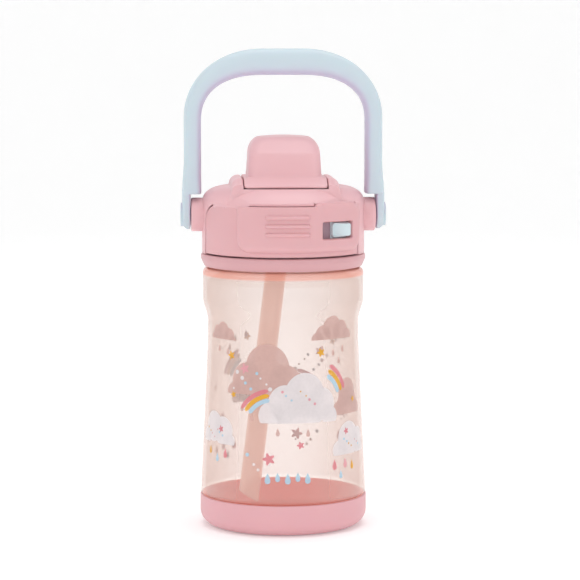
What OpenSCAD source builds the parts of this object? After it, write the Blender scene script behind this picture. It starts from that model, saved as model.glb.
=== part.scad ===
// Kids water bottle: translucent screw-neck bottle in a soft base cup, with a lid that holds a
// straw, a flip-up spout cover, a push button with a lock slider and a swinging carry handle.
// Millimetres. +Z is up, the front (push button) faces -Y, the origin is the middle of the base.
// Angles named phi run round the bottle from the front (-Y) towards +X.

/* [Bottle] */
// Radius of the body just above the base cup
body_base_r = 39.45; // [37:0.05:47]
// Radius of the body at its waist
body_waist_r = 35.9; // [34:0.05:45]
// Radius of the shoulder band under the lid
body_shoulder_r = 38.2; // [37:0.05:46]
// Height where the taper ends and the waist begins
waist_low_z = 88; // [60:0.5:106]
// Length of the straight waist
waist_h = 10.3; // [4:0.1:20]
// Height of the flare from the waist to the shoulder
flare_h = 10.7; // [6:0.1:20]
// Height of the straight shoulder band
shoulder_h = 8.2; // [4:0.1:30]
// Thickness of the bottle's wall
body_wall = 2; // [1.4:0.1:3]
// Rise of the dimple in the bottle's floor
floor_dimple = 3; // [1:0.1:5]

/* [Neck] */
// Outer radius of the ledge that the lid closes down to
ledge_r = 34.4; // [34:0.1:37.2]
// Height of that ledge
ledge_h = 0.5; // [0.4:0.1:6]
// Outer radius of the threaded neck
neck_r = 31.6; // [29:0.1:32]
// Height of the neck above its ledge
neck_h = 17.3; // [15:0.1:24]

/* [Thread] */
// Number of thread starts
thread_starts = 3; // [2:1:4]
// Rise of the lid in one turn
thread_lead = 12; // [9:0.5:14]
// How far the ridge stands off its wall
thread_depth = 1.2; // [0.8:0.05:1.3]
// Height of the ridge at its root
thread_root_h = 1.9; // [1.2:0.05:2]
// Height of the ridge at its crest
thread_crest_h = 1; // [0.6:0.05:1.2]
// Part of a turn that each ridge covers
thread_turns = 0.72; // [0.4:0.01:0.8]

/* [Base cup] */
// Outer radius of the cup
cup_r = 39.7; // [38:0.1:47.5]
// Height of the cup
cup_h = 14.8; // [13:0.1:30]
// Thickness of the cup's wall and floor
cup_wall = 2; // [1.4:0.1:3]
// Rounding between the cup's wall and its floor
cup_round = 9.2; // [5:0.1:12]

/* [Lid] */
// Outer radius of the lid shell
shell_r = 38.5; // [38.2:0.1:46]
// Thickness of the lid shell's wall
shell_wall = 2; // [1.4:0.1:2.2]
// Height of the visible collar under the shell
collar_h = 6; // [4:0.1:9]
// How far the collar stands out past the shell
collar_out = 0.5; // [0:0.1:1.5]
// Height of the lid shell's straight side over the deck that it stands round
shell_side_h = 9.6; // [8:0.1:13.6]
// Height of the rounded shoulder above it
shell_crown_h = 8; // [6:0.1:12]
// Radius where the rounded shoulder meets the top
crown_flat_r = 27; // [24:0.1:30]
// Thickness of the plate that closes the bottle's mouth
deck_t = 2; // [1.6:0.1:3]

/* [Hood] */
// Half width of the raised hood
hood_half_w = 25.4; // [24:0.1:28]
// Height of the hood's side rails over the crown
rail_rise = 4.5; // [4:0.1:8]
// Distance from the middle to the foot of the hood's front slope
hood_front_y = 35; // [33:0.1:35.5]
// Distance from the middle to the top of the hood's front slope
hood_brow_y = 26; // [25:0.1:27]
// Distance from the middle to the hood's back
hood_back_y = 27; // [25:0.1:30]

/* [Spout cover] */
// Half width of the cover's rim
rim_half_w = 19.4; // [18:0.1:20]
// Half width of the dome at its foot
dome_half_w = 17.4; // [16:0.1:18]
// Half width of the dome near its top
dome_top_half_w = 16.2; // [14:0.1:17]
// Height of the dome over the rim
dome_h = 19.3; // [14:0.1:24]
// Thickness of the dome's wall
cover_wall = 2; // [1.4:0.1:2.6]
// Distance of the cover's hinge behind the middle
hinge_y = 17; // [15:0.1:19]
// Radius of the hinge knuckles
knuckle_r = 3; // [2.5:0.1:3.4]
// Radius of the steel hinge pin
hinge_pin_r = 1.25; // [1:0.05:1.5]

/* [Push button] */
// Left end of the button panel, in degrees from the front
panel_left_phi = -74; // [-76:0.5:-50]
// Right end of the button panel, in degrees from the front
panel_right_phi = 62; // [56:0.5:66]
// Thickness of the panel
panel_t = 2.2; // [1.6:0.1:2.4]
// How far the pad stands out of the panel
pad_out = 2.5; // [1.5:0.1:3.5]
// Height of the pad's lower edge over the collar
pad_foot_h = 4.2; // [3:0.1:9]
// Travel of the button
button_travel = 1.2; // [0.8:0.1:1.2]
// Radius of the panel's top left corner
panel_corner_r = 8.5; // [4:0.1:10]
// Number of grip ribs
rib_count = 3; // [1:1:4]
// Spacing of the grip ribs
rib_pitch = 3.9; // [3:0.1:4.2]
// Half length of the grip ribs, in degrees
rib_half_phi = 14.5; // [8:0.5:17]

/* [Lock slider] */
// Left end of the window, in degrees from the front
window_left_phi = 23.5; // [20:0.5:26]
// Right end of the window, in degrees from the front
window_right_phi = 49.5; // [46:0.5:49.5]
// Width of the slider's thumb tab, in degrees
tab_phi = 14.8; // [10:0.1:15]
// Height of the thumb tab
tab_h = 6.4; // [5:0.1:7]

/* [Handle] */
// Half width over the outside of the arms
handle_half_w = 47; // [46:0.1:57]
// Thickness of the arms, seen from the front
arm_w = 8.2; // [7:0.1:8.4]
// Thickness of the top bar, seen from the front
bar_h = 12.5; // [9:0.1:14]
// Depth of the handle from front to back
handle_depth = 13; // [10:0.1:15]
// Height of the top bar's upper face over the pivot
handle_rise = 78.3; // [74:0.1:96]
// Outer radius of the bosses that carry the handle
boss_r = 8; // [7:0.05:8.4]
// Gap between a boss and the handle's ear
ear_gap = 0.2; // [0.1:0.05:0.5]
// Thickness of the handle's ears
ear_t = 4; // [3:0.1:5]
// Radius of the handle's pins
pivot_pin_r = 3; // [2.4:0.1:3.4]

/* [Drinking parts] */
// Outer radius of the straw
straw_r = 4.95; // [3.5:0.05:5.2]
// Thickness of the straw's wall
straw_wall = 0.9; // [0.6:0.1:1.2]
// Lean of the straw to the left, in degrees
straw_lean = 6.9; // [0:0.1:8]
// Gap between the straw's end and the bottle's floor
straw_floor_gap = 4; // [2:0.5:12]
// Outer radius of the mouthpiece
spout_r = 6.6; // [5.5:0.1:7]

/* [Hidden] */
$fn = 96;

// Clearances: parts that only sit together, parts that slide, round running fits
seat_gap = 0.2;
slide_gap = 0.3;
run_gap = 0.05;
through = 1;          // how far a cutter runs past what it cuts

// Bottle heights, from the cup's floor upwards
bottle_foot_z = cup_wall + seat_gap;
cup_inner_r = cup_r - cup_wall;
heel_r = cup_inner_r - seat_gap;
heel_round = cup_round - cup_wall - seat_gap;
step_z = cup_h + slide_gap;
waist_top_z = waist_low_z + waist_h;
shoulder_low_z = waist_top_z + flare_h;
shoulder_top_z = shoulder_low_z + shoulder_h;
shoulder_round = 6;
ledge_low_z = shoulder_top_z + shoulder_round;
ledge_top_z = ledge_low_z + ledge_h;
neck_top_z = ledge_top_z + neck_h;
mouth_r = neck_r - body_wall;

// Thread
thread_pitch = thread_lead / thread_starts;
thread_gap = 0.55;    // radial gap from a ridge's crest to the wall that faces it
thread_sink = 0.4;    // how far a ridge's root runs into its own wall
thread_low_z = ledge_top_z + 4;
thread_step = 7.5;    // degrees in one step round a ridge
sleeve_in_r = neck_r + thread_depth + thread_gap;
sleeve_t = 1.4;
sleeve_out_r = sleeve_in_r + sleeve_t;

// Lid heights
collar_low_z = ledge_top_z + slide_gap;
collar_top_z = collar_low_z + collar_h;
collar_r = shell_r + collar_out;
shell_low_z = collar_top_z + slide_gap;
gasket_t = 1.2;
gasket_gap = 0.1;
deck_low_z = neck_top_z + gasket_t + 2 * gasket_gap;
deck_top_z = deck_low_z + deck_t;
crown_low_z = deck_top_z + shell_side_h;
crown_top_z = crown_low_z + shell_crown_h;
plug_t = 2;
plug_h = 6;
plug_gap = 0.4;
plug_r = mouth_r - plug_gap;

// Hood and cover heights
rail_top_z = crown_top_z + rail_rise;
brow_z = crown_top_z + 1.3;
pocket_z = crown_top_z - 0.3;
pocket_gap = 0.4;
rim_low_z = pocket_z + 0.5;
rim_top_z = rail_top_z + 0.2;
dome_top_z = rim_top_z + dome_h;
hinge_z = rail_top_z - 1;
rim_front_y = -hood_brow_y;
rim_back_y = hinge_y - knuckle_r - 0.8;
dome_front_y = -19;
dome_back_y = 12;
spring_half_w = 4.5;
knuckle_half_w = 11;
lug_half_w = 17;
spout_y = -3.5;

// Push button
panel_in_r = shell_r - panel_t;
pad_r = shell_r + pad_out;
panel_low_z = collar_top_z + 0.7;
panel_top_z = crown_low_z + 0.2;
pad_low_z = collar_top_z + pad_foot_h;
pad_left_phi = -34;
pad_foot_phi = -38.6;
pad_right_phi = panel_right_phi - 1.4;
hump_left_phi = 20;
hump_right_phi = 46;
hump_h = 1.7;
hump_inset = 0.3;
spring_z = deck_top_z + 3.1;
spring_seat_y = 24.5;
spring_seat_t = 2;
rib_mid_z = crown_low_z - 8.6;
rib_h = 1.8;
rib_out = 0.9;
corner_bite = 0.15;   // keeps the rounded corner from running out tangent to the edges
button_end_gap = button_travel + 0.1;
end_gap_phi = atan(button_end_gap / shell_r);

// Lock slider
window_mid_z = crown_low_z - 11;
window_h = 8;
slider_in_r = panel_in_r + 0.7;
slider_out_r = shell_r;
slider_cell_r = slider_out_r + slide_gap;
slider_right_phi = window_right_phi + 0.5;
slider_left_phi = slider_right_phi - tab_phi - 4;
tab_out_r = pad_r - 0.7;

// Handle
pivot_z = crown_low_z - 5.7;
ear_in_x = handle_half_w + 0.9 - ear_t;
ear_out_x = handle_half_w + 0.9;
boss_out_x = ear_in_x - ear_gap;
pin_in_x = shell_r - shell_wall - 0.3;
arm_low_z = pivot_z + boss_r + 1.8;
arm_in_x = handle_half_w - arm_w;
ear_r = 7;
pin_head_r = 4.2;
pin_head_t = 0.9;

// Drinking parts
straw_pivot_z = deck_low_z + 8.6;
adapter_len = 14;
adapter_r = 5.2;
vent_x = 17;
vent_y = 9;
socket_r = 11.7;
socket_t = 1.5;
socket_h = 6;
spout_tip_z = dome_top_z - 7.5;

// Outline helpers
function arc(cx, cy, r, a0, a1, n) =
  [for (i = [0 : n]) let (a = a0 + (a1 - a0) * i / n) [cx + r * cos(a), cy + r * sin(a)]];
function reverse(list) = [for (i = [len(list) - 1 : -1 : 0]) list[i]];
function mirrored(list) = [for (p = reverse(list)) [-p[0], p[1]]];
// Quarter of a superellipse from its side (angle 0) to its top (angle 90)
function corner(cx, cz, a, b, power, n) =
  [for (i = [0 : n]) let (t = 90 * i / n)
    [cx + a * pow(cos(t), 2 / power), cz + b * pow(sin(t), 2 / power)]];

// Radius of the body's outside between the base cup and the shoulder
function body_r(z) =
  z < waist_low_z
    ? body_waist_r + (body_base_r - body_waist_r) * (waist_low_z - z) / (waist_low_z - step_z)
    : z < waist_top_z ? body_waist_r
    : z < shoulder_low_z
      ? body_waist_r + (body_shoulder_r - body_waist_r)
        * (1 - cos(180 * (z - waist_top_z) / flare_h)) / 2
      : body_shoulder_r;
flare_steps = 10;
body_levels = concat(
  [step_z, waist_low_z],
  [for (i = [0 : flare_steps]) waist_top_z + flare_h * i / flare_steps],
  [shoulder_top_z]);

module ring(r_in, r_out, z_low, z_high) {
  rotate_extrude() translate([r_in, z_low]) square([r_out - r_in, z_high - z_low]);
}

// Part of a ring between two angles from the front
module sector(r_in, r_out, phi_a, phi_b, z_low, z_high) {
  rotate([0, 0, phi_a - 90]) rotate_extrude(angle = phi_b - phi_a)
    translate([r_in, z_low]) square([r_out - r_in, z_high - z_low]);
}

// Prism that runs along X: its outline is given as [y, z]
module along_x(half_w, outline) {
  rotate([90, 0, 90]) translate([0, 0, -half_w]) linear_extrude(2 * half_w) polygon(outline);
}

// Prism that runs along Y: its outline is given as [x, z]
module along_y(y_low, y_high, outline) {
  translate([0, y_high, 0]) rotate([90, 0, 0]) linear_extrude(y_high - y_low) polygon(outline);
}

// Rod along X between two places
module rod_x(r, x_low, x_high, y, z) {
  translate([x_low, y, z]) rotate([0, 90, 0]) cylinder(r = r, h = x_high - x_low);
}

// Closed tube through a list of rings that all have the same number of points
module skin(rings) {
  sides = len(rings[0]);
  last = len(rings) - 1;
  polyhedron(
    points = [for (r = rings) for (p = r) p],
    faces = concat(
      [[for (j = [0 : sides - 1]) j]],
      [for (i = [0 : last - 1]) for (j = [0 : sides - 1]) let (k = (j + 1) % sides)
        each [[i * sides + j, (i + 1) * sides + j, (i + 1) * sides + k],
              [i * sides + j, (i + 1) * sides + k, i * sides + k]]],
      [[for (j = [sides - 1 : -1 : 0]) last * sides + j]]));
}

// One thread ridge. side is 1 where it stands outwards and -1 where it stands inwards
module ridge(wall_r, side, z_start, phi_start) {
  steps = floor(thread_turns * 360 / thread_step);
  fade = 4;
  rings = [for (i = [0 : steps]) let (
      a = phi_start + i * thread_step,
      z = z_start + thread_lead * i * thread_step / 360,
      share = min(1, min(i, steps - i) / fade),
      crest = wall_r + side * (thread_depth * share - 0.1 * (1 - share)),
      root = wall_r - side * thread_sink,
      profile = [[root, -thread_root_h / 2], [crest, -thread_crest_h / 2],
                 [crest, thread_crest_h / 2], [root, thread_root_h / 2]])
    [for (p = (side > 0 ? reverse(profile) : profile)) [p[0] * cos(a), p[0] * sin(a), z + p[1]]]];
  skin(rings);
}

module ridges(wall_r, side, z_start) {
  for (i = [0 : thread_starts - 1]) ridge(wall_r, side, z_start, 360 * i / thread_starts);
}

// Round wire wound into a whole number of turns along Z, with a straight leg at each end
module coil(mean_r, wire_r, turns, length, leg_a, leg_b) {
  steps_per_turn = 16;
  sides = 6;
  steps = turns * steps_per_turn;
  skin([for (i = [-1 : steps + 1]) let (
      turn = max(0, min(steps, i)),
      leg = i < 0 ? -leg_a : i > steps ? leg_b : 0,
      a = 360 * turn / steps_per_turn,
      z = length * turn / steps)
    [for (j = [0 : sides - 1]) let (b = -360 * j / sides)
      [(mean_r + wire_r * cos(b)) * cos(a) - leg * sin(a),
       (mean_r + wire_r * cos(b)) * sin(a) + leg * cos(a),
       z + wire_r * sin(b)]]]);
}

module bottle_body() {
  outside = concat(
    [[0, bottle_foot_z + floor_dimple], [8, bottle_foot_z + floor_dimple],
     [24, bottle_foot_z]],
    arc(heel_r - heel_round, bottle_foot_z + heel_round, heel_round, -90, 0, 8),
    [[heel_r, step_z]],
    [for (z = body_levels) [body_r(z), z]],
    arc(body_shoulder_r - shoulder_round, shoulder_top_z, shoulder_round, 15, 62, 4),
    [[ledge_r, ledge_low_z], [ledge_r, ledge_top_z], [neck_r, ledge_top_z],
     [neck_r, neck_top_z]]);
  heel_in_r = heel_r - body_wall;
  heel_in_round = heel_round - body_wall;
  inside = concat(
    [[0, bottle_foot_z + floor_dimple + body_wall], [8, bottle_foot_z + floor_dimple + body_wall],
     [24, bottle_foot_z + body_wall]],
    arc(heel_in_r - heel_in_round, bottle_foot_z + heel_round, heel_in_round, -90, 0, 8),
    [[heel_in_r, step_z - 2 * body_wall]],
    [for (z = body_levels) [body_r(z) - body_wall, max(z, step_z + body_wall)]],
    [[mouth_r, ledge_low_z + 0.5], [mouth_r, neck_top_z]]);
  color([0.91, 0.8, 0.76, 0.6]) union() {
    rotate_extrude() polygon(concat(outside, reverse(inside)));
    ridges(neck_r, 1, thread_low_z);
  }
}

module base_cup() {
  outside = concat([[0, 0]],
    arc(cup_r - cup_round, cup_round, cup_round, -90, 0, 10),
    arc(cup_r - 0.6, cup_h - 0.6, 0.6, 0, 90, 3));
  inner_round = cup_round - cup_wall;
  inside = concat([[0, cup_wall]],
    arc(cup_inner_r - inner_round, cup_round, inner_round, -90, 0, 10),
    [[cup_inner_r, cup_h]]);
  color([0.88, 0.68, 0.7])
    rotate_extrude() polygon(concat(outside, reverse(inside)));
}

module lid_gasket() {
  color([0.95, 0.93, 0.92])
    ring(mouth_r + seat_gap, sleeve_in_r - 0.15, neck_top_z + gasket_gap, deck_low_z - gasket_gap);
}

// Collar, threaded sleeve, deck that closes the mouth, and the sockets of the drinking parts
module threaded_lid() {
  collar_round = 3;
  collar_wall = 2;
  taper = 1.5;
  color([0.87, 0.68, 0.69]) {
    difference() {
      union() {
        rotate_extrude() polygon(concat(
          [[collar_r - taper - collar_wall, collar_low_z], [collar_r - taper - 1, collar_low_z]],
          [[collar_r - taper, collar_low_z + 0.6]],
          arc(collar_r - 0.6, collar_top_z - 0.6, 0.6, 0, 90, 3),
          [[sleeve_out_r, collar_top_z], [sleeve_out_r, deck_top_z],
           [sleeve_in_r, deck_top_z], [sleeve_in_r, collar_low_z], [sleeve_out_r, collar_low_z],
           [sleeve_out_r, collar_top_z - collar_wall],
           [collar_r - collar_wall, collar_top_z - collar_wall]]));
        translate([0, 0, deck_low_z]) cylinder(r = sleeve_in_r + sleeve_t / 2, h = deck_t);
        ring(plug_r - plug_t, plug_r, deck_low_z - plug_h, deck_low_z + deck_t / 2);
        ridges(sleeve_in_r, -1, thread_low_z - thread_pitch / 2);
        translate([0, spout_y, deck_low_z + deck_t / 2])
          ring(socket_r, socket_r + socket_t, 0, deck_t / 2 + socket_h);
        translate([-4, -spring_seat_y - spring_seat_t, deck_low_z + deck_t / 2])
          cube([8, spring_seat_t, spring_z + 4 - deck_low_z - deck_t / 2]);
      }
      translate([0, spout_y, deck_low_z - through])
        cylinder(r = adapter_r + seat_gap / 2, h = deck_t + 2 * through);
      translate([vent_x, vent_y, deck_low_z - through]) cylinder(r = 1.6, h = deck_t + 2 * through);
    }
  }
}
module spout_seal() {
  color([0.9, 0.9, 0.9]) translate([0, spout_y, deck_top_z + 0.05])
    ring(8.6, 10.4, 0, 1.1);
}

// Revolved skin of the lid shell, inset by a given amount
module shell_skin(inset) {
  r = shell_r - inset;
  crown = corner(crown_flat_r, crown_low_z, shell_r - crown_flat_r - inset,
                 shell_crown_h - inset, 2.2, 10);
  rotate_extrude() polygon(concat(
    [[0, shell_low_z - (inset > 0 ? through : 0)], [r, shell_low_z - (inset > 0 ? through : 0)]],
    crown, [[0, crown_top_z - inset]]));
}

// Raised hood between its side profile and its front profile, inset by a given amount
module hood_block(inset) {
  w = hood_half_w - inset;
  top = rail_top_z - inset;
  low = crown_low_z - 3;
  rounding = 4 - inset / 2;
  side = [
    [-hood_front_y + inset * 1.4, low], [-hood_front_y + inset * 1.4, crown_low_z + 0.4],
    [-hood_brow_y + inset, brow_z - inset * 0.6], [-hood_brow_y + 8, top],
    [hinge_y - 4, top], [hinge_y + 4, top - 2.5], [hood_back_y - inset, crown_top_z - inset - 1],
    [hood_back_y - inset, low]];
  half = concat([[w + 0.8, low], [w + 0.8, crown_top_z - 2]],
                arc(w - rounding, top - rounding, rounding, 10, 90, 6));
  intersection() {
    along_x(hood_half_w + 5, side);
    along_y(-hood_front_y - 5, hood_back_y + 5, concat(half, mirrored(half)));
    translate([0, 0, low - through]) cylinder(r = shell_r - 0.6 - inset, h = top - low + 2 * through);
  }
}

// Outline that the button panel fills, grown by a gap; used for the panel and for its opening
module panel_space(r_in, r_out, gap_phi, gap_z) {
  left = panel_left_phi - gap_phi;
  corner_phi = panel_left_phi + atan(panel_corner_r / shell_r) - gap_phi;
  corner_z = panel_top_z + gap_z - panel_corner_r;
  difference() {
    union() {
      sector(r_in, r_out, left, panel_right_phi + gap_phi, panel_low_z - (gap_z > 0 ? 3 : 0),
             panel_top_z + gap_z);
      sector(r_in + hump_inset, r_out - hump_inset, hump_left_phi - gap_phi,
             hump_right_phi + gap_phi, panel_top_z - 1,
             panel_top_z + hump_h + gap_z);
    }
    rotate([0, 0, corner_phi - 90]) difference() {
      translate([r_in - 6, -panel_corner_r - 4, corner_z])
        cube([r_out - r_in + 12, panel_corner_r + 4, panel_corner_r + 4]);
      translate([r_in - 7, 0, corner_z]) rotate([0, 90, 0])
        cylinder(r = panel_corner_r + corner_bite, h = r_out - r_in + 14);
    }
  }
}

module lid_shell() {
  bore_r = pivot_pin_r + run_gap;
  slot_half_w = 5.6;
  color([0.91, 0.72, 0.74]) difference() {
    union() {
      difference() {
        union() {
          shell_skin(0);
          hood_block(0);
        }
        shell_skin(shell_wall);
        hood_block(shell_wall);
      }
      // floor of the cover's pocket
      intersection() {
        translate([-hood_half_w + 1, -hood_brow_y - 1, pocket_z - shell_wall])
          cube([2 * hood_half_w - 2, hood_brow_y + hood_back_y - 1, shell_wall + 0.3]);
        hood_block(0.6);
      }
      for (s = [-1, 1]) {
        rod_x(boss_r, s > 0 ? shell_r - 1.5 : -boss_out_x, s > 0 ? boss_out_x : 1.5 - shell_r,
              0, pivot_z);
      }
    }
    // pocket that the cover's rim lies in
    translate([-rim_half_w - pocket_gap, -hood_brow_y - 8, pocket_z])
      cube([2 * (rim_half_w + pocket_gap), hood_brow_y + 8 + hinge_y + knuckle_r + 1.2, 12]);
    translate([0, spout_y, pocket_z - 6]) cylinder(r = spout_r + 2.4, h = 12);
    // slot of the cover's latch
    translate([-slot_half_w, -hood_brow_y + 0.6, pocket_z - 6]) cube([2 * slot_half_w, 5.6, 12]);
    panel_space(panel_in_r - 3.2, pad_r + 2, end_gap_phi, slide_gap);
    for (s = [-1, 1]) {
      rod_x(bore_r, s > 0 ? pin_in_x - 6 : -boss_out_x - through,
            s > 0 ? boss_out_x + through : 6 - pin_in_x, 0, pivot_z);
    }
  }
  color([0.91, 0.72, 0.74]) for (s = [-1, 1]) hinge_lug(s);
}

// One of the two lugs that hold the hinge pin
module hinge_lug(s) {
  x_low = knuckle_half_w + slide_gap;
  difference() {
    union() {
      rod_x(knuckle_r, s > 0 ? x_low : -lug_half_w, s > 0 ? lug_half_w : -x_low, hinge_y, hinge_z);
      translate([s > 0 ? x_low : -lug_half_w, hinge_y - knuckle_r, pocket_z - 0.5])
        cube([lug_half_w - x_low, 2 * knuckle_r, hinge_z - pocket_z + 0.5]);
    }
    rod_x(hinge_pin_r, -30, 30, hinge_y, hinge_z);
  }
}

module mouthpiece() {
  base_z = deck_top_z + 1.3;
  neck_z = base_z + 4;
  bore = 3;
  color([0.96, 0.93, 0.9]) translate([0, spout_y, 0]) rotate_extrude() polygon(concat(
    [[adapter_r + 0.3, base_z], [socket_r - 0.3, base_z], [socket_r - 0.3, base_z + 1.4],
     [spout_r + 1.2, base_z + 1.4], [spout_r, neck_z]],
    arc(spout_r - 2.2, spout_tip_z - 2.2, 2.2, 0, 80, 5),
    [[bore, spout_tip_z - 0.4], [bore, base_z + 3.6], [adapter_r + 0.3, base_z + 3.2]]));
}

module mouthpiece_ring() {
  color([0.9, 0.62, 0.64]) translate([0, spout_y, deck_top_z + 2.9])
    ring(spout_r + 1.6, socket_r - 0.2, 0, 2.4);
}

// Turns what it is given to the straw's lean
module leaned() {
  translate([0, spout_y, straw_pivot_z]) rotate([0, straw_lean, 0]) children();
}

// Silicone holder: a plug through the deck and a leaning sleeve round the straw's top
module straw_adapter() {
  sleeve_top = straw_pivot_z - deck_low_z + 1.6;
  color([0.95, 0.93, 0.92]) difference() {
    union() {
      translate([0, spout_y, deck_low_z - 2]) cylinder(r = adapter_r + 2.8, h = 1.9);
      translate([0, spout_y, deck_low_z - 1.5]) cylinder(r = adapter_r, h = deck_t + 4.4);
      leaned() translate([0, 0, -sleeve_top - adapter_len])
        cylinder(r = straw_r + 1.6, h = adapter_len);
    }
    translate([0, spout_y, deck_low_z - 3]) cylinder(r = straw_r - straw_wall - 0.9, h = 12);
    leaned() translate([0, 0, -sleeve_top - adapter_len - through])
      cylinder(r = straw_r, h = adapter_len - 2 + through);
    leaned() translate([0, 0, -sleeve_top - 3])
      cylinder(r = straw_r - straw_wall - 0.9, h = 5.4);
  }
}

module straw() {
  top = straw_pivot_z - deck_low_z + 1.6 + 2.2;
  floor_z = bottle_foot_z + floor_dimple + body_wall + straw_floor_gap;
  length = (straw_pivot_z - floor_z) / cos(straw_lean) - top;
  color([0.87, 0.76, 0.72]) leaned() translate([0, 0, -top - length]) difference() {
    cylinder(r = straw_r, h = length);
    translate([0, 0, -through]) cylinder(r = straw_r - straw_wall, h = length + 2 * through);
    // slanted mouth, so that the floor cannot close it
    translate([0, 0, -straw_r * 0.9]) rotate([0, 25, 0])
      cube([4 * straw_r, 4 * straw_r, 2 * straw_r * 0.6], center = true);
  }
}

module vent_valve() {
  color([0.95, 0.93, 0.92]) translate([vent_x, vent_y, 0]) rotate_extrude() polygon([
    [0, deck_low_z - 1.1], [4, deck_low_z - 0.5], [4, deck_low_z - 0.1], [1.5, deck_low_z - 0.1],
    [1.5, deck_top_z + 0.1], [2.2, deck_top_z + 0.1], [1.2, deck_top_z + 2.4],
    [0, deck_top_z + 2.4]]);
}

// Dome of the spout cover, inset by a given amount
module dome_block(inset, low) {
  top = dome_top_z - inset;
  front = dome_front_y + inset;
  back = dome_back_y - inset;
  side_round = 6.5 - inset;
  half = concat([[dome_half_w - inset, low]],
    arc(dome_top_half_w - inset - side_round, top + 0.2 - side_round, side_round, 0, 84, 7));
  brow = dome_top_z - 8.4 - inset * 0.3;
  back_round = 7 - inset;
  side = concat([[front, low], [front + 0.9, brow]],
    [[front + 4.5, top - 4], [front + 9.5, top - 1], [front + 14, top]],
    arc(back - 2.5 - back_round, top - 0.4 - back_round, back_round, 80, 0, 6),
    [[back, low]]);
  corner_r = 5.5 - inset;
  intersection() {
    along_x(dome_half_w + 5, side);
    along_y(dome_front_y - 5, dome_back_y + 5, concat(half, mirrored(half)));
    translate([0, 0, low - 1]) linear_extrude(top - low + 2)
      rounded_rect(-dome_half_w + inset, dome_half_w - inset, front, back, corner_r);
  }
}

module rounded_rect(x0, x1, y0, y1, r) {
  polygon(concat(
    arc(x1 - r, y0 + r, r, -90, 0, 6), arc(x1 - r, y1 - r, r, 0, 90, 6),
    arc(x0 + r, y1 - r, r, 90, 180, 6), arc(x0 + r, y0 + r, r, 180, 270, 6)));
}

module spout_cover() {
  rim_side = [
    [rim_front_y, rim_low_z], [rim_front_y, rim_low_z + 0.8], [dome_front_y, rim_top_z],
    [rim_back_y, rim_top_z + 0.3], [rim_back_y, rim_low_z]];
  latch_half_w = 5;
  color([0.91, 0.7, 0.73]) difference() {
    union() {
      along_x(rim_half_w, rim_side);
      dome_block(0, rim_low_z + 1);
      for (s = [-1, 1]) {
        x_low = s > 0 ? spring_half_w + slide_gap : -knuckle_half_w;
        rod_x(knuckle_r, x_low, x_low + knuckle_half_w - spring_half_w - slide_gap,
              hinge_y, hinge_z);
        translate([x_low, rim_back_y - 1, hinge_z - 1.4])
          cube([knuckle_half_w - spring_half_w - slide_gap, hinge_y - rim_back_y + 1, 2.8]);
      }
      // latch tongue and its hook
      along_x(latch_half_w, [
        [-hood_brow_y + 3.6, rim_low_z + 0.6], [-hood_brow_y + 3.6, rim_low_z - 5.2],
        [-hood_brow_y + 1, rim_low_z - 5.2], [-hood_brow_y + 2, rim_low_z - 3.8],
        [-hood_brow_y + 2, rim_low_z + 0.6]]);
    }
    dome_block(cover_wall, rim_low_z - 1);
    rod_x(hinge_pin_r + run_gap, -30, 30, hinge_y, hinge_z);
    // room for the spring's leg
    translate([-spring_half_w - slide_gap, rim_back_y - 4, rim_low_z - 1])
      cube([2 * (spring_half_w + slide_gap), 10, rim_top_z - rim_low_z]);
  }
}

// Soft pad in the dome that closes the mouthpiece, on a stem from the dome's roof
module cover_seal() {
  pad_t = 1.6;
  skirt_h = 2.2;
  roof_z = dome_top_z - cover_wall - 1;
  color([0.95, 0.93, 0.92]) translate([0, spout_y, spout_tip_z + slide_gap]) union() {
    cylinder(r = spout_r + 1, h = pad_t);
    cylinder(r = 3, h = roof_z - spout_tip_z - slide_gap);
    translate([0, 0, -skirt_h]) ring(spout_r + 0.3, spout_r + 1, 0, skirt_h + pad_t / 2);
  }
}

module hinge_pin() {
  color([0.75, 0.75, 0.78]) rod_x(hinge_pin_r, -lug_half_w + 0.2, lug_half_w - 0.2,
                                  hinge_y, hinge_z);
}

module cover_spring() {
  half = spring_half_w - 0.6;
  color([0.72, 0.72, 0.75]) translate([-half, hinge_y, hinge_z]) rotate([0, 90, 0])
    coil(2.45, 0.35, 8, 2 * half, 6, 4);
}

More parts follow.
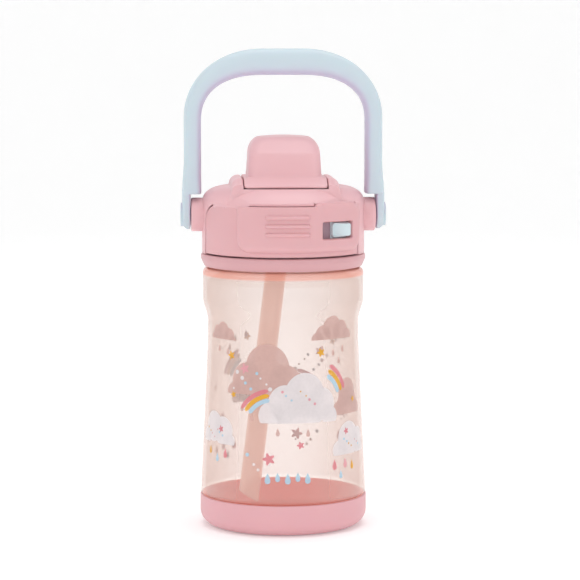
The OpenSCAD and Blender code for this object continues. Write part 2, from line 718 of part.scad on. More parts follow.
module push_button() {
  rib_zs = [for (i = [0 : rib_count - 1]) rib_mid_z + (i - (rib_count - 1) / 2) * rib_pitch];
  catch_half_w = 4;
  pad_step = 0.3;
  catch_front_y = -hood_brow_y - 2;
  color([0.88, 0.68, 0.7]) difference() {
    union() {
      panel_space(panel_in_r, shell_r, 0, 0);
      // the pad steps out in two stages, and a hump stands over the window
      sector(shell_r - 0.5, pad_r - pad_out / 2, pad_foot_phi, pad_right_phi, pad_low_z,
             panel_top_z - pad_step);
      sector(shell_r - 0.7, pad_r, pad_left_phi, pad_right_phi - 0.8, pad_low_z + 1,
             panel_top_z - 2 * pad_step);
      sector(shell_r - 0.9, pad_r - pad_step, hump_left_phi + 0.6, hump_right_phi - 0.6,
             panel_top_z - 2, panel_top_z + hump_h - pad_step);
      for (z = rib_zs)
        sector(pad_r - 0.5, pad_r + rib_out, -rib_half_phi, rib_half_phi,
               z - rib_h / 2, z + rib_h / 2);
      // catch that the cover's hook sits behind
      along_x(catch_half_w, [
        [-panel_in_r - 0.6, panel_top_z - 2.4], [catch_front_y + 2, panel_top_z - 2.4],
        [catch_front_y + 2, panel_top_z + 1.4], [catch_front_y, panel_top_z + 1.4],
        [catch_front_y, panel_top_z - 0.4], [-panel_in_r - 0.6, panel_top_z - 0.4]]);
      // guide of the button's spring
      translate([0, -panel_in_r - 0.6, spring_z]) rotate([-90, 0, 0]) cylinder(r = 1.6, h = 5);
    }
    // cell of the lock slider, and its window
    sector(panel_in_r - 1, slider_cell_r, hump_left_phi - 1, slider_right_phi + 0.4,
           window_mid_z - 5.6, window_mid_z + 5.6);
    sector(panel_in_r - 1, pad_r + 3, window_left_phi, window_right_phi,
           window_mid_z - window_h / 2, window_mid_z + window_h / 2);
  }
}

// Drawn short by the button's travel, so that it is clear of the pressed button
module button_spring() {
  wire_r = 0.35;
  room = panel_in_r - spring_seat_y - spring_seat_t - button_travel - 2 * slide_gap;
  color([0.72, 0.72, 0.75]) translate([0, -spring_seat_y - spring_seat_t - slide_gap - wire_r, spring_z])
    rotate([90, 0, 0]) coil(2.6, wire_r, 5, room - 2 * wire_r, 0.5, 0.5);
}

module lock_slider() {
  half_h = 5.2;
  color([0.72, 0.84, 0.88]) union() {
    sector(slider_in_r, slider_out_r, slider_left_phi, slider_right_phi,
           window_mid_z - half_h, window_mid_z + half_h);
    sector(slider_out_r - 0.5, tab_out_r, slider_right_phi - tab_phi - 0.8,
           slider_right_phi - 0.8, window_mid_z - tab_h / 2, window_mid_z + tab_h / 2);
  }
}

module handle() {
  top_z = pivot_z + handle_rise;
  outer = concat([[handle_half_w, arm_low_z]],
                 corner(handle_half_w - 37.5, top_z - 33, 37.5, 33, 2.1, 14));
  inner = concat([[arm_in_x, arm_low_z]],
                 corner(arm_in_x - 30, top_z - bar_h - 22, 30, 22, 2.4, 14));
  half_depth = handle_depth / 2;
  color([0.82, 0.87, 0.91]) difference() {
    union() {
      along_y(-half_depth, half_depth,
              concat(outer, mirrored(outer), reverse(mirrored(inner)), reverse(inner)));
      for (s = [-1, 1]) mirror([s > 0 ? 0 : 1, 0, 0]) {
        rod_x(ear_r, ear_in_x, ear_out_x, 0, pivot_z);
        along_y(-half_depth, half_depth, [
          [ear_in_x, pivot_z], [ear_out_x, pivot_z], [ear_out_x, arm_low_z],
          [handle_half_w, arm_low_z + 14], [handle_half_w - 1, arm_low_z + 14],
          [ear_in_x, arm_low_z]]);
      }
    }
    for (s = [-1, 1]) mirror([s > 0 ? 0 : 1, 0, 0])
      rod_x(pivot_pin_r, ear_in_x - 1, ear_out_x + 1, 0, pivot_z);
  }
}

// Shafts with domed heads outside and snap rims inside the lid shell
module handle_pins() {
  color([0.82, 0.87, 0.91]) for (s = [-1, 1]) mirror([s > 0 ? 0 : 1, 0, 0]) {
    rod_x(pivot_pin_r, pin_in_x - 1, ear_out_x, 0, pivot_z);
    rod_x(pivot_pin_r + 0.7, pin_in_x - 1, pin_in_x, 0, pivot_z);
    translate([ear_out_x, 0, pivot_z]) rotate([0, 90, 0]) rotate_extrude()
      polygon(concat([[0, 0], [pin_head_r, 0]],
        arc(pin_head_r - pin_head_t, 0, pin_head_t, 20, 90, 3), [[0, pin_head_t + 0.1]]));
  }
}

bottle_body();
base_cup();
lid_gasket();
threaded_lid();
lid_shell();
mouthpiece();
mouthpiece_ring();
straw_adapter();
straw();
vent_valve();
spout_cover();
cover_seal();
hinge_pin();
cover_spring();
push_button();
button_spring();
lock_slider();
handle();
handle_pins();
spout_seal();
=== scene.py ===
"""Looks of a kids water bottle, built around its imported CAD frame.

Every shape is a surface worked out with numpy in the CAD frame: metres, +Z up, the push button
faces -Y. Lengths in this file are written in millimetres times MM, and angles round the bottle
(phi) are in degrees from the front (-Y) towards +X.
"""

import logging
from dataclasses import dataclass, field
from enum import Enum
from typing import Iterable, Sequence

import bmesh
import bpy
import numpy as np
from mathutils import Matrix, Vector


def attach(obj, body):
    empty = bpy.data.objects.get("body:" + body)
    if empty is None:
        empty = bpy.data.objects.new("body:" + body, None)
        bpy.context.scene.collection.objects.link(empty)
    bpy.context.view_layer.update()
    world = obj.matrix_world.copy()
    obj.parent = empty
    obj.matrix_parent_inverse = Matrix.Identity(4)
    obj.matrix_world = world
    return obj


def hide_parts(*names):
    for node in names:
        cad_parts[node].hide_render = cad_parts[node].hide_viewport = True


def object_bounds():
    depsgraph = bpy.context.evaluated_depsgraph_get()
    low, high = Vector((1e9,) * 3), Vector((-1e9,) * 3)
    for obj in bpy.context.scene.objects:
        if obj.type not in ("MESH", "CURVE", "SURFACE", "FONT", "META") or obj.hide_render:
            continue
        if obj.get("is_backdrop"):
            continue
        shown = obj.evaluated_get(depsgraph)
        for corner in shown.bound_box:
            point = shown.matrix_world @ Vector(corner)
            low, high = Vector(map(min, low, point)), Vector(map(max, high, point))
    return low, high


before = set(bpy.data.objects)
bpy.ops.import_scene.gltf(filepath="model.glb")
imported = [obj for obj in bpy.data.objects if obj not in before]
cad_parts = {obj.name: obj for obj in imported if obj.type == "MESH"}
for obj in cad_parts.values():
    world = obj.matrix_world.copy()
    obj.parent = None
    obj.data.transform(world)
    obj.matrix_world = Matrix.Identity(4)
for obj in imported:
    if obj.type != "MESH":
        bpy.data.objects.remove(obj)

MM = 0.001
SHARP_EDGE = np.radians(38.0)
CLOUD_SCALE = 38.0
PRINT_RADIUS = 37.0
DOT_STEPS = (0.6180339, 0.7548777)
CORNER_DROP = 9.0
LOG = logging.getLogger("bottle")

Colour = tuple[float, float, float]
Array = np.ndarray


# ---------------------------------------------------------------- colours and finishes


def linear(code: str) -> Colour:
    """Turns a six-digit sRGB code into linear light.

    Args:
        code: Two hexadecimal digits each for red, green and blue.

    Returns:
        The three linear values.
    """
    srgb = np.array([int(code[i:i + 2], 16) for i in (0, 2, 4)]) / 255.0
    values = np.where(srgb <= 0.04045, srgb / 12.92, ((srgb + 0.055) / 1.055) ** 2.4)
    return tuple(float(v) for v in values)


class NodeBench:
    """A material under construction, with short calls for its nodes and links."""

    def __init__(self, name: str) -> None:
        """Starts an empty node material.

        Args:
            name: The material's name.
        """
        self.material = bpy.data.materials.new(name)
        self.material.use_nodes = True
        self.tree = self.material.node_tree
        self.tree.nodes.clear()
        self.output = self.add("ShaderNodeOutputMaterial")

    def add(self, kind: str, **settings: object) -> bpy.types.Node:
        """Adds a node and sets its properties.

        Args:
            kind: The node's type name.
            **settings: Properties of the node, not its sockets.

        Returns:
            The new node.
        """
        node = self.tree.nodes.new(kind)
        for key, value in settings.items():
            setattr(node, key, value)
        return node

    def link(self, source: bpy.types.NodeSocket, target: bpy.types.NodeSocket) -> None:
        """Joins two sockets."""
        self.tree.links.new(source, target)

    def noise(self, scale: float, detail: float = 3.0) -> bpy.types.NodeSocket:
        """Adds a noise texture on object coordinates.

        Args:
            scale: Repeats per metre.
            detail: Octaves of the noise.

        Returns:
            The noise's value, from 0 to 1.
        """
        place = self.add("ShaderNodeTexCoord")
        texture = self.add("ShaderNodeTexNoise")
        texture.inputs["Scale"].default_value = scale
        texture.inputs["Detail"].default_value = detail
        self.link(place.outputs["Object"], texture.inputs["Vector"])
        return texture.outputs["Fac"]

    def ramp(self, value: bpy.types.NodeSocket, low: float, high: float) -> bpy.types.NodeSocket:
        """Stretches a value from 0..1 to low..high.

        Args:
            value: The socket to stretch.
            low: What 0 becomes.
            high: What 1 becomes.

        Returns:
            The stretched value.
        """
        node = self.add("ShaderNodeMapRange")
        node.inputs["To Min"].default_value = low
        node.inputs["To Max"].default_value = high
        self.link(value, node.inputs["Value"])
        return node.outputs["Result"]

    def blend(self, share: bpy.types.NodeSocket, first: Colour | bpy.types.NodeSocket,
              second: Colour) -> bpy.types.NodeSocket:
        """Mixes two colours by a share.

        Args:
            share: 0 gives the first colour and 1 the second.
            first: Linear colour, fixed or a socket.
            second: Linear colour.

        Returns:
            The mixed colour.
        """
        node = self.add("ShaderNodeMix", data_type="RGBA")
        colour_a, colour_b = [s for s in node.inputs if s.type == "RGBA"][:2]
        if isinstance(first, tuple):
            colour_a.default_value = (*first, 1.0)
        else:
            self.link(first, colour_a)
        colour_b.default_value = (*second, 1.0)
        self.link(share, node.inputs["Factor"])
        return [s for s in node.outputs if s.type == "RGBA"][0]

    def math(self, operation: str, *values: bpy.types.NodeSocket | float) -> bpy.types.NodeSocket:
        """Adds a math node.

        Args:
            operation: Name of its operation.
            *values: Its inputs in order, each a socket or a fixed number.

        Returns:
            The result.
        """
        node = self.add("ShaderNodeMath", operation=operation)
        for target, value in zip(node.inputs, values):
            if isinstance(value, float):
                target.default_value = value
            else:
                self.link(value, target)
        return node.outputs["Value"]

    def step(self, value: bpy.types.NodeSocket, kind: str, spans: tuple[float, float],
             result: tuple[float, float] = (0.0, 1.0)) -> bpy.types.NodeSocket:
        """Maps one range of a value onto another and clamps it there.

        Args:
            value: The socket to map.
            kind: Interpolation of the mapping.
            spans: The two values that are mapped onto the result's ends.
            result: First and last value of the result.

        Returns:
            The mapped value.
        """
        node = self.add("ShaderNodeMapRange", interpolation_type=kind)
        for key, number in zip(("From Min", "From Max", "To Min", "To Max"), (*spans, *result)):
            node.inputs[key].default_value = number
        self.link(value, node.inputs["Value"])
        return node.outputs["Result"]

    def radius_and_height(self) -> tuple[bpy.types.NodeSocket, bpy.types.NodeSocket]:
        """Distance of the shaded place from the bottle's axis, and its height, in metres."""
        place = self.add("ShaderNodeTexCoord")
        flat = self.add("ShaderNodeVectorMath", operation="MULTIPLY")
        flat.inputs[1].default_value = (1.0, 1.0, 0.0)
        self.link(place.outputs["Object"], flat.inputs[0])
        radius = self.add("ShaderNodeVectorMath", operation="LENGTH")
        self.link(flat.outputs["Vector"], radius.inputs[0])
        split = self.add("ShaderNodeSeparateXYZ")
        self.link(place.outputs["Object"], split.inputs[0])
        return radius.outputs["Value"], split.outputs["Z"]

    def bump(self, height: bpy.types.NodeSocket, depth: float, strength: float = 1.0) -> bpy.types.NodeSocket:
        """Adds a bump node.

        Args:
            height: The height, from 0 to 1.
            depth: What a height of 1 stands for, in metres.
            strength: Share of the bump that shows.

        Returns:
            The bent normal.
        """
        node = self.add("ShaderNodeBump")
        node.inputs["Distance"].default_value = depth
        node.inputs["Strength"].default_value = strength
        self.link(height, node.inputs["Height"])
        return node.outputs["Normal"]


@dataclass(frozen=True)
class MouldedPlastic:
    """Satin injection-moulded plastic: faint clouding, fine spark texture and soft depth."""

    name: str
    light: str
    dark: str
    roughness: float = 0.42
    texture_mm: float = 0.25
    texture_depth: float = 0.006
    glow: float = 0.0

    def make(self) -> bpy.types.Material:
        """Builds the material.

        Returns:
            The node material.
        """
        bench = NodeBench(self.name)
        shader = bench.add("ShaderNodeBsdfPrincipled")
        cloud = bench.noise(CLOUD_SCALE, 2.0)
        grain = bench.noise(1.0 / (self.texture_mm * MM), 2.0)
        bench.link(bench.blend(cloud, linear(self.light), linear(self.dark)),
                   shader.inputs["Base Color"])
        bench.link(bench.ramp(grain, self.roughness - 0.05, self.roughness + 0.06),
                   shader.inputs["Roughness"])
        bench.link(bench.bump(grain, self.texture_depth * MM, 0.5), shader.inputs["Normal"])
        shader.inputs["IOR"].default_value = 1.49
        shader.inputs["Subsurface Weight"].default_value = self.glow
        shader.inputs["Subsurface Radius"].default_value = (1.0, 0.6, 0.5)
        shader.inputs["Subsurface Scale"].default_value = 2.0 * MM
        bench.link(shader.outputs["BSDF"], bench.output.inputs["Surface"])
        return bench.material


@dataclass(frozen=True)
class PaintedShadeRecessPlastic:
    """Satin plastic whose places within reach of a core round the axis have a second colour: painted shade,
    with an optional painted glow.
    """

    name: str
    light: str
    dark: str
    # inside: colour of the painted shade in the recess; painted_inside_glow: strength of its painted glow
    inside: str
    core: tuple[float, float] = (30.5, 9.2)
    reach: float = 8.2
    painted_inside_glow: float = 0.0

    def make(self) -> bpy.types.Material:
        """Builds the material: inside colour, painted shade, where hypot(max(r - core r, 0), max(core z - z,
        0)) < reach, glowing there with painted light.

        Returns:
            The node material.
        """
        bench = NodeBench(self.name)
        away = bench.add("ShaderNodeCombineXYZ")
        for k, (source, sign) in enumerate(zip(bench.radius_and_height(), (1.0, -1.0))):
            past = bench.math("MULTIPLY_ADD", source, sign, -sign * self.core[k] * MM)
            bench.link(bench.math("MAXIMUM", past, 0.0), away.inputs[k])
        far = bench.add("ShaderNodeVectorMath", operation="LENGTH")
        bench.link(away.outputs["Vector"], far.inputs[0])
        # inner marks the places that get the painted shade colour and the painted glow
        inner = bench.math("LESS_THAN", far.outputs["Value"], self.reach * MM)
        outer = bench.blend(bench.noise(CLOUD_SCALE, 2.0), linear(self.light), linear(self.dark))
        shader = bench.add("ShaderNodeBsdfPrincipled")
        bench.link(bench.blend(inner, outer, linear(self.inside)), shader.inputs["Base Color"])
        # painted glow: the inside colour emits light, though the part is no lamp
        shader.inputs["Emission Color"].default_value = (*linear(self.inside), 1.0)
        bench.link(bench.math("MULTIPLY", inner, self.painted_inside_glow), shader.inputs["Emission Strength"])
        grain = bench.noise(4000.0, 2.0)
        bench.link(bench.ramp(grain, 0.4, 0.52), shader.inputs["Roughness"])
        bench.link(bench.bump(grain, 0.006 * MM, 0.5), shader.inputs["Normal"])
        shader.inputs["IOR"].default_value = 1.49
        shader.inputs["Subsurface Weight"].default_value = 0.1
        shader.inputs["Subsurface Scale"].default_value = 2.0 * MM
        bench.link(shader.outputs["BSDF"], bench.output.inputs["Surface"])
        return bench.material


@dataclass(frozen=True)
class ClearResin:
    """Thin tinted see-through plastic: clear to look through, milky and deeper towards its rims, with a painted
    glow of its milk colour.
    """

    name: str
    tint: str
    rim_tint: str
    milk: str
    haze: float = 0.2
    rim_haze: float = 0.5
    roughness: float = 0.12
    gloss: float = 0.5
    # glow: strength of a painted glow of the milk colour
    glow: float = 0.25
    band_painted_reflection: str = ""
    floor: float = 1.0
    band: tuple[float, float] = (120.0, 124.4)
    band_haze: float = 0.35
    floor_z: tuple[float, float] = (14.4, 17.0)
    inner_share: float = 0.15
    middle: tuple[tuple[str, float, float, float, float], ...] = (
        ("LINEAR", 15.1, 88.0, 38.45, 34.9), ("SMOOTHSTEP", 98.3, 109.0, 0.0, 2.3),
        ("SMOOTHSTEP", 117.5, 124.0, 0.0, -5.2))

    def make(self) -> bpy.types.Material:
        """Builds the material: tinted clearness, a share of milky scatter, a clear gloss, and a painted glow of
        the milk colour.

        Returns:
            The node material.
        """
        bench = NodeBench(self.name)
        slant = bench.add("ShaderNodeLayerWeight")
        slant.inputs["Blend"].default_value = 0.35
        clear = bench.add("ShaderNodeBsdfTransparent")
        bench.link(bench.blend(slant.outputs["Facing"], linear(self.tint), linear(self.rim_tint)),
                   clear.inputs["Color"])
        body = bench.add("ShaderNodeBsdfPrincipled")
        cloud = bench.noise(30.0, 2.0)
        deep = tuple(0.95 * v for v in linear(self.milk))
        milk = bench.blend(cloud, linear(self.milk), deep)
        haze = bench.ramp(slant.outputs["Facing"], self.haze, self.rim_haze)
        # Neck band: orange-pink painted reflection and shade of the pink lid ring, with more haze there.
        if self.band_painted_reflection:
            ring = self.band_share(bench)
            milk = bench.blend(ring, milk, linear(self.band_painted_reflection))
            haze = bench.math("MULTIPLY_ADD", ring, self.band_haze, haze)
        if self.floor < 1:
            for share in (self.floor_share(bench), self.outer_share(bench)):
                haze = bench.math("MULTIPLY", haze, share)
        bench.link(milk, body.inputs["Base Color"])
        swirl = bench.noise(260.0, 2.0)
        bench.link(bench.ramp(swirl, self.roughness, self.roughness + 0.05),
                   body.inputs["Roughness"])
        bench.link(bench.bump(bench.noise(90.0, 1.0), 0.02 * MM, 0.35), body.inputs["Normal"])
        body.inputs["IOR"].default_value = 1.5
        body.inputs["Specular IOR Level"].default_value = self.gloss
        # painted glow: the milk colour emits light, though the plastic is no lamp
        bench.link(milk, body.inputs["Emission Color"])
        body.inputs["Emission Strength"].default_value = self.glow
        mix = bench.add("ShaderNodeMixShader")
        bench.link(haze, mix.inputs["Fac"])
        bench.link(clear.outputs["BSDF"], mix.inputs[1])
        bench.link(body.outputs["BSDF"], mix.inputs[2])
        bench.link(mix.outputs["Shader"], bench.output.inputs["Surface"])
        return bench.material

    def floor_share(self, bench: NodeBench) -> bpy.types.NodeSocket:
        """Factor on the haze: floor below the first height of floor_z, rising to 1 at the second.

        Args:
            bench: The material under construction.

        Returns:
            The factor.
        """
        low, high = self.floor_z
        return bench.step(bench.radius_and_height()[1], "SMOOTHSTEP", (low * MM, high * MM), (self.floor, 1.0))

    def outer_share(self, bench: NodeBench) -> bpy.types.NodeSocket:
        """Factor on the haze: small on the wall's inner face, 1 on its outer face.

        Args:
            bench: The material under construction.

        Returns:
            s + (1 - s) [r > R(z)], with s the inner share. R(z), in the middle of the wall, is the
            sum of the taper, the flare and the shoulder, each a mapped range of the height.
        """
        radius, height = bench.radius_and_height()
        total = 0.0
        for kind, *numbers in self.middle:
            start, end, first, last = (v * MM for v in numbers)
            total = bench.math("ADD", bench.step(height, kind, (start, end), (first, last)), total)
        outer = bench.math("GREATER_THAN", radius, total)
        return bench.ramp(outer, self.inner_share, 1.0)

    def band_share(self, bench: NodeBench) -> bpy.types.NodeSocket:
        """Share of the band's painted reflection colour: 1 between the band's two heights, with soft ends.

        Args:
            bench: The material under construction.

        Returns:
            The share.
        """
        height = bench.radius_and_height()[1]
        low, high = self.band
        spans = ((low - 0.8, low + 0.6), (high + 0.8, high - 0.6))
        ends = [bench.step(height, "SMOOTHSTEP", (start * MM, end * MM)) for start, end in spans]
        return bench.math("MINIMUM", *ends)


@dataclass(frozen=True)
class SoftSilicone:
    """Milky silicone rubber with a dusty surface."""

    name: str
    light: str
    dark: str
    roughness: float = 0.55

    def make(self) -> bpy.types.Material:
        """Builds the material.

        Returns:
            The node material.
        """
        bench = NodeBench(self.name)
        shader = bench.add("ShaderNodeBsdfPrincipled")
        dust = bench.noise(900.0, 3.0)
        bench.link(bench.blend(bench.noise(60.0, 2.0), linear(self.light), linear(self.dark)),
                   shader.inputs["Base Color"])
        bench.link(bench.ramp(dust, self.roughness - 0.08, self.roughness + 0.1),
                   shader.inputs["Roughness"])
        bench.link(bench.bump(dust, 0.01 * MM, 0.4), shader.inputs["Normal"])
        shader.inputs["Subsurface Weight"].default_value = 0.3
        shader.inputs["Subsurface Scale"].default_value = 2.0 * MM
        bench.link(shader.outputs["BSDF"], bench.output.inputs["Surface"])
        return bench.material


@dataclass(frozen=True)
class DrawnSteel:
    """Drawn stainless wire with fine lengthwise streaks."""

    name: str

    def make(self) -> bpy.types.Material:
        """Builds the material.

        Returns:
            The node material.
        """
        bench = NodeBench(self.name)
        shader = bench.add("ShaderNodeBsdfPrincipled")
        streak = bench.noise(2400.0, 4.0)
        bench.link(bench.blend(streak, linear("b9bac0"), linear("d8d9de")),
                   shader.inputs["Base Color"])
        bench.link(bench.ramp(streak, 0.22, 0.42), shader.inputs["Roughness"])
        shader.inputs["Metallic"].default_value = 1.0
        bench.link(shader.outputs["BSDF"], bench.output.inputs["Surface"])
        return bench.material


@dataclass(frozen=True)
class PrintInk:
    """Screen-printed ink: nearly opaque, with the faint mottle of a thin film."""

    name: str
    colour: str
    cover: float = 0.9

    def make(self) -> bpy.types.Material:
        """Builds the material.

        Returns:
            The node material.
        """
        bench = NodeBench(self.name)
        shader = bench.add("ShaderNodeBsdfPrincipled")
        mottle = bench.noise(700.0, 3.0)
        base = linear(self.colour)
        thin = tuple(min(1.0, 1.06 * v) for v in base)
        bench.link(bench.blend(mottle, base, thin), shader.inputs["Base Color"])
        bench.link(bench.ramp(mottle, 0.28, 0.4), shader.inputs["Roughness"])
        clear = bench.add("ShaderNodeBsdfTransparent")
        mix = bench.add("ShaderNodeMixShader")
        bench.link(bench.ramp(mottle, self.cover - 0.03, self.cover + 0.03), mix.inputs["Fac"])
        bench.link(clear.outputs["BSDF"], mix.inputs[1])
        bench.link(shader.outputs["BSDF"], mix.inputs[2])
        bench.link(mix.outputs["Shader"], bench.output.inputs["Surface"])
        return bench.material


# ---------------------------------------------------------------- surfaces


def smooth_max(a: Array, b: Array, width: float) -> Array:
    """The larger of two values with a soft changeover: (a + b + sqrt((a - b)^2 + width^2)) / 2."""
    return 0.5 * (a + b + np.sqrt((a - b) ** 2 + width ** 2))


def quarter(share: Array, power: float = 2.0) -> Array:
    """Rises from 0 at share 0, steeply, to 1 at share 1, level: (1 - (1 - share)^p)^(1/p)."""
    return (1.0 - (1.0 - np.clip(share, 0.0, 1.0)) ** power) ** (1.0 / power)


def box_distance(a: Array, b: Array, half_a: float, half_b: float, radius: float) -> Array:
    """Signed distance to a rounded rectangle about the origin, negative inside.

    Args:
        a: First coordinate.
        b: Second coordinate.
        half_a: Half length along the first coordinate.
        half_b: Half length along the second.
        radius: Corner radius.

    Returns:
        |max(q, 0)| + min(max(q), 0) - radius, with q = |point| - half + radius.
    """
    qa, qb = np.abs(a) - half_a + radius, np.abs(b) - half_b + radius
    return np.hypot(np.maximum(qa, 0), np.maximum(qb, 0)) + np.minimum(np.maximum(qa, qb), 0) - radius


def filleted(corners: Sequence[tuple[float, float, float]], steps: int = 7) -> Array:
    """Rounds the corners of a polyline with arcs.

    Args:
        corners: (a, b, radius) of each corner. The first and last are end points.
        steps: Points on each arc.

    Returns:
        The (n, 2) points. Each arc is centre + radius * (cos t, sin t) between its tangent points.
    """
    spots = np.array([c[:2] for c in corners], float)
    run = [spots[:1]]
    for before, spot, after, radius in zip(spots[:-2], spots[1:-1], spots[2:],
                                           [c[2] for c in corners[1:-1]]):
        u, v = before - spot, after - spot
        reach = 0.49 * min(np.linalg.norm(u), np.linalg.norm(v))
        u, v = u / np.linalg.norm(u), v / np.linalg.norm(v)
        half = 0.5 * np.arccos(np.clip(u @ v, -1, 1))
        if radius <= 0 or half > 1.55:
            run.append(spot[None])
            continue
        radius = min(radius, reach * np.tan(half))
        centre = spot + (u + v) / np.linalg.norm(u + v) * radius / np.sin(half)
        start = spot + u * radius / np.tan(half) - centre
        end = spot + v * radius / np.tan(half) - centre
        first = np.arctan2(start[1], start[0])
        sweep = (np.arctan2(end[1], end[0]) - first + np.pi) % (2 * np.pi) - np.pi
        turn = first + sweep * np.linspace(0, 1, steps)
        run.append(centre + radius * np.stack([np.cos(turn), np.sin(turn)], axis=1))
    run.append(spots[-1:])
    return np.concatenate(run)


def round_outline(x0: float, x1: float, y0: float, y1: float, radius: float, steps: int = 9,
                  side_steps: int = 12) -> Array:
    """Points round a rounded rectangle, anticlockwise from the middle of its low y side.

    Args:
        x0: Low x.
        x1: High x.
        y0: Low y.
        y1: High y.
        radius: Corner radius.
        steps: Points on each corner's arc.
        side_steps: Points on each straight side.

    Returns:
        The (n, 2) points, the same number for any sizes. Corners are centre + radius (cos, sin).
    """
    mid = 0.5 * (x0 + x1)
    centres = np.array([[x1 - radius, y0 + radius], [x1 - radius, y1 - radius],
                        [x0 + radius, y1 - radius], [x0 + radius, y0 + radius]])
    turn = np.radians(np.array([-90, 0, 90, 180])[:, None] + np.linspace(0, 90, steps))
    arcs = centres[:, None] + radius * np.stack([np.cos(turn), np.sin(turn)], axis=2)
    ends = np.concatenate([[[mid, y0]], arcs.reshape(-1, 2), [[mid, y0]]])
    share = np.linspace(0, 1, side_steps + 1)[:-1, None]
    long_sides = {0, steps, 2 * steps, 3 * steps, 4 * steps}
    return np.concatenate([
        ends[i] + (ends[i + 1] - ends[i]) * (share if i in long_sides else share[:1])
        for i in range(len(ends) - 1)])


@dataclass
class Surface:
    """Points in millimetres and blocks of faces, before they become a mesh."""

    points: Array
    faces: list[Array]

    @classmethod
    def grid(cls, points: Array, close: bool = False) -> "Surface":
        """Quads over a grid of points.

        Args:
            points: (rows, columns, 3).
            close: Joins the last column to the first.

        Returns:
            The surface.
        """
        rows, cols = points.shape[:2]
        index = np.arange(rows * cols).reshape(rows, cols)
        if close:
            index = np.concatenate([index, index[:, :1]], axis=1)
        quads = np.stack([index[:-1, :-1], index[:-1, 1:], index[1:, 1:], index[1:, :-1]], axis=-1)
        return cls(points.reshape(-1, 3), [quads.reshape(-1, 4)])

    @classmethod
    def revolve(cls, profile: Array, steps: int = 224, centre: tuple[float, float] = (0, 0)) -> "Surface":
        """Turns a profile round an upright axis: (r cos t, r sin t, z).

        Args:
            profile: (n, 2) of radius and height.
            steps: Columns round the axis.
            centre: Where the axis stands.

        Returns:
            The surface, closed round the axis.
        """
        turn = np.linspace(0, 2 * np.pi, steps, endpoint=False)
        radius, height = profile[:, :1], profile[:, 1:]
        points = np.stack([centre[0] + radius * np.cos(turn), centre[1] + radius * np.sin(turn),
                           height + 0 * turn], axis=2)
        return cls.grid(points, close=True)

    @classmethod
    def prism(cls, outline: Array, low: float, high: float, edge: float, axis: str = "x") -> "Surface":
        """A closed prism over a convex outline, with rounded end edges.

        Ring k stands at low + edge (1 - cos t) and its outline is drawn in by edge (1 - sin t).

        Args:
            outline: (n, 2) points: (y, z) for axis x, (x, z) for axis y, (x, y) for axis z.
            low: Where the prism starts along its axis.
            high: Where it ends.
            edge: Radius of the end edges.
            axis: Letter of the axis.

        Returns:
            The closed surface.
        """
        centre = outline.mean(axis=0)
        reach = np.linalg.norm(outline - centre, axis=1, keepdims=True)
        turn = np.linspace(0, np.pi / 2, 5)
        inset = np.concatenate([edge * (1 - np.sin(turn)), edge * (1 - np.sin(turn))[::-1]])
        along = np.concatenate([low + edge * (1 - np.cos(turn)), (high - edge * (1 - np.cos(turn)))[::-1]])
        flat = centre + (outline - centre) * (1 - inset[:, None, None] / reach)
        tip = np.broadcast_to(centre, flat[:1].shape)
        flat = np.concatenate([tip, flat, tip])
        along = np.concatenate([[low], along, [high]])[:, None] + 0 * flat[..., 0]
        order = {"x": (along, flat[..., 0], flat[..., 1]), "y": (flat[..., 0], along, flat[..., 1]),
                 "z": (flat[..., 0], flat[..., 1], along)}[axis]
        return cls.grid(np.stack(order, axis=2), close=True)

    def joined(self, *others: "Surface") -> "Surface":
        """Puts several surfaces into one.

        Args:
            *others: The surfaces to add.

        Returns:
            One surface that holds them all.
        """
        points, faces = [self.points], list(self.faces)
        for other in others:
            offset = sum(len(p) for p in points)
            points.append(other.points)
            faces.extend(block + offset for block in other.faces)
        return Surface(np.concatenate(points), faces)

    def mirrored_x(self) -> "Surface":
        """The same surface on the other side of x = 0."""
        return Surface(self.points * np.array([-1.0, 1.0, 1.0]), [b[:, ::-1] for b in self.faces])

    def piece(self, name: str, body: str, slot: str, finish: bpy.types.Material,
              nodes: Iterable[str] = (), wall: float = 0.0, edge: float = 0.0) -> bpy.types.Object:
        """Turns the surface into a finished object that rides on a CAD body.

        Args:
            name: Name of the object.
            body: CAD body that it moves with.
            slot: Material slot of the record; not used.
            finish: Its material.
            nodes: CAD nodes that it stands for.
            wall: Thickness added inwards, for an open sheet.
            edge: Width of a bevel on its sharp edges.

        Returns:
            The object.
        """
        mesh = bpy.data.meshes.new(name)
        mesh.from_pydata((self.points * MM).tolist(), [], [f for b in self.faces for f in b.tolist()])
        work = bmesh.new()
        work.from_mesh(mesh)
        bmesh.ops.remove_doubles(work, verts=work.verts, dist=2e-6)
        bmesh.ops.dissolve_degenerate(work, edges=work.edges, dist=1e-6)
        bmesh.ops.recalc_face_normals(work, faces=work.faces)
        work.to_mesh(mesh)
        work.free()
        mesh.shade_smooth()
        mesh.set_sharp_from_angle(angle=SHARP_EDGE)
        mesh.materials.append(finish)
        made = bpy.data.objects.new(name, mesh)
        bpy.context.scene.collection.objects.link(made)
        if wall > 0:
            solid = made.modifiers.new("wall", "SOLIDIFY")
            solid.thickness, solid.offset = wall * MM, -1.0
        if edge > 0:
            bevel = made.modifiers.new("edge", "BEVEL")
            bevel.width, bevel.segments, bevel.limit_method = edge * MM, 2, "ANGLE"
            bevel.angle_limit = np.radians(50)
            bevel.harden_normals = True
        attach(made, body)
        for node in nodes:
            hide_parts(node)
        LOG.info("%s: %d faces on %s", name, len(mesh.polygons), body)
        return made


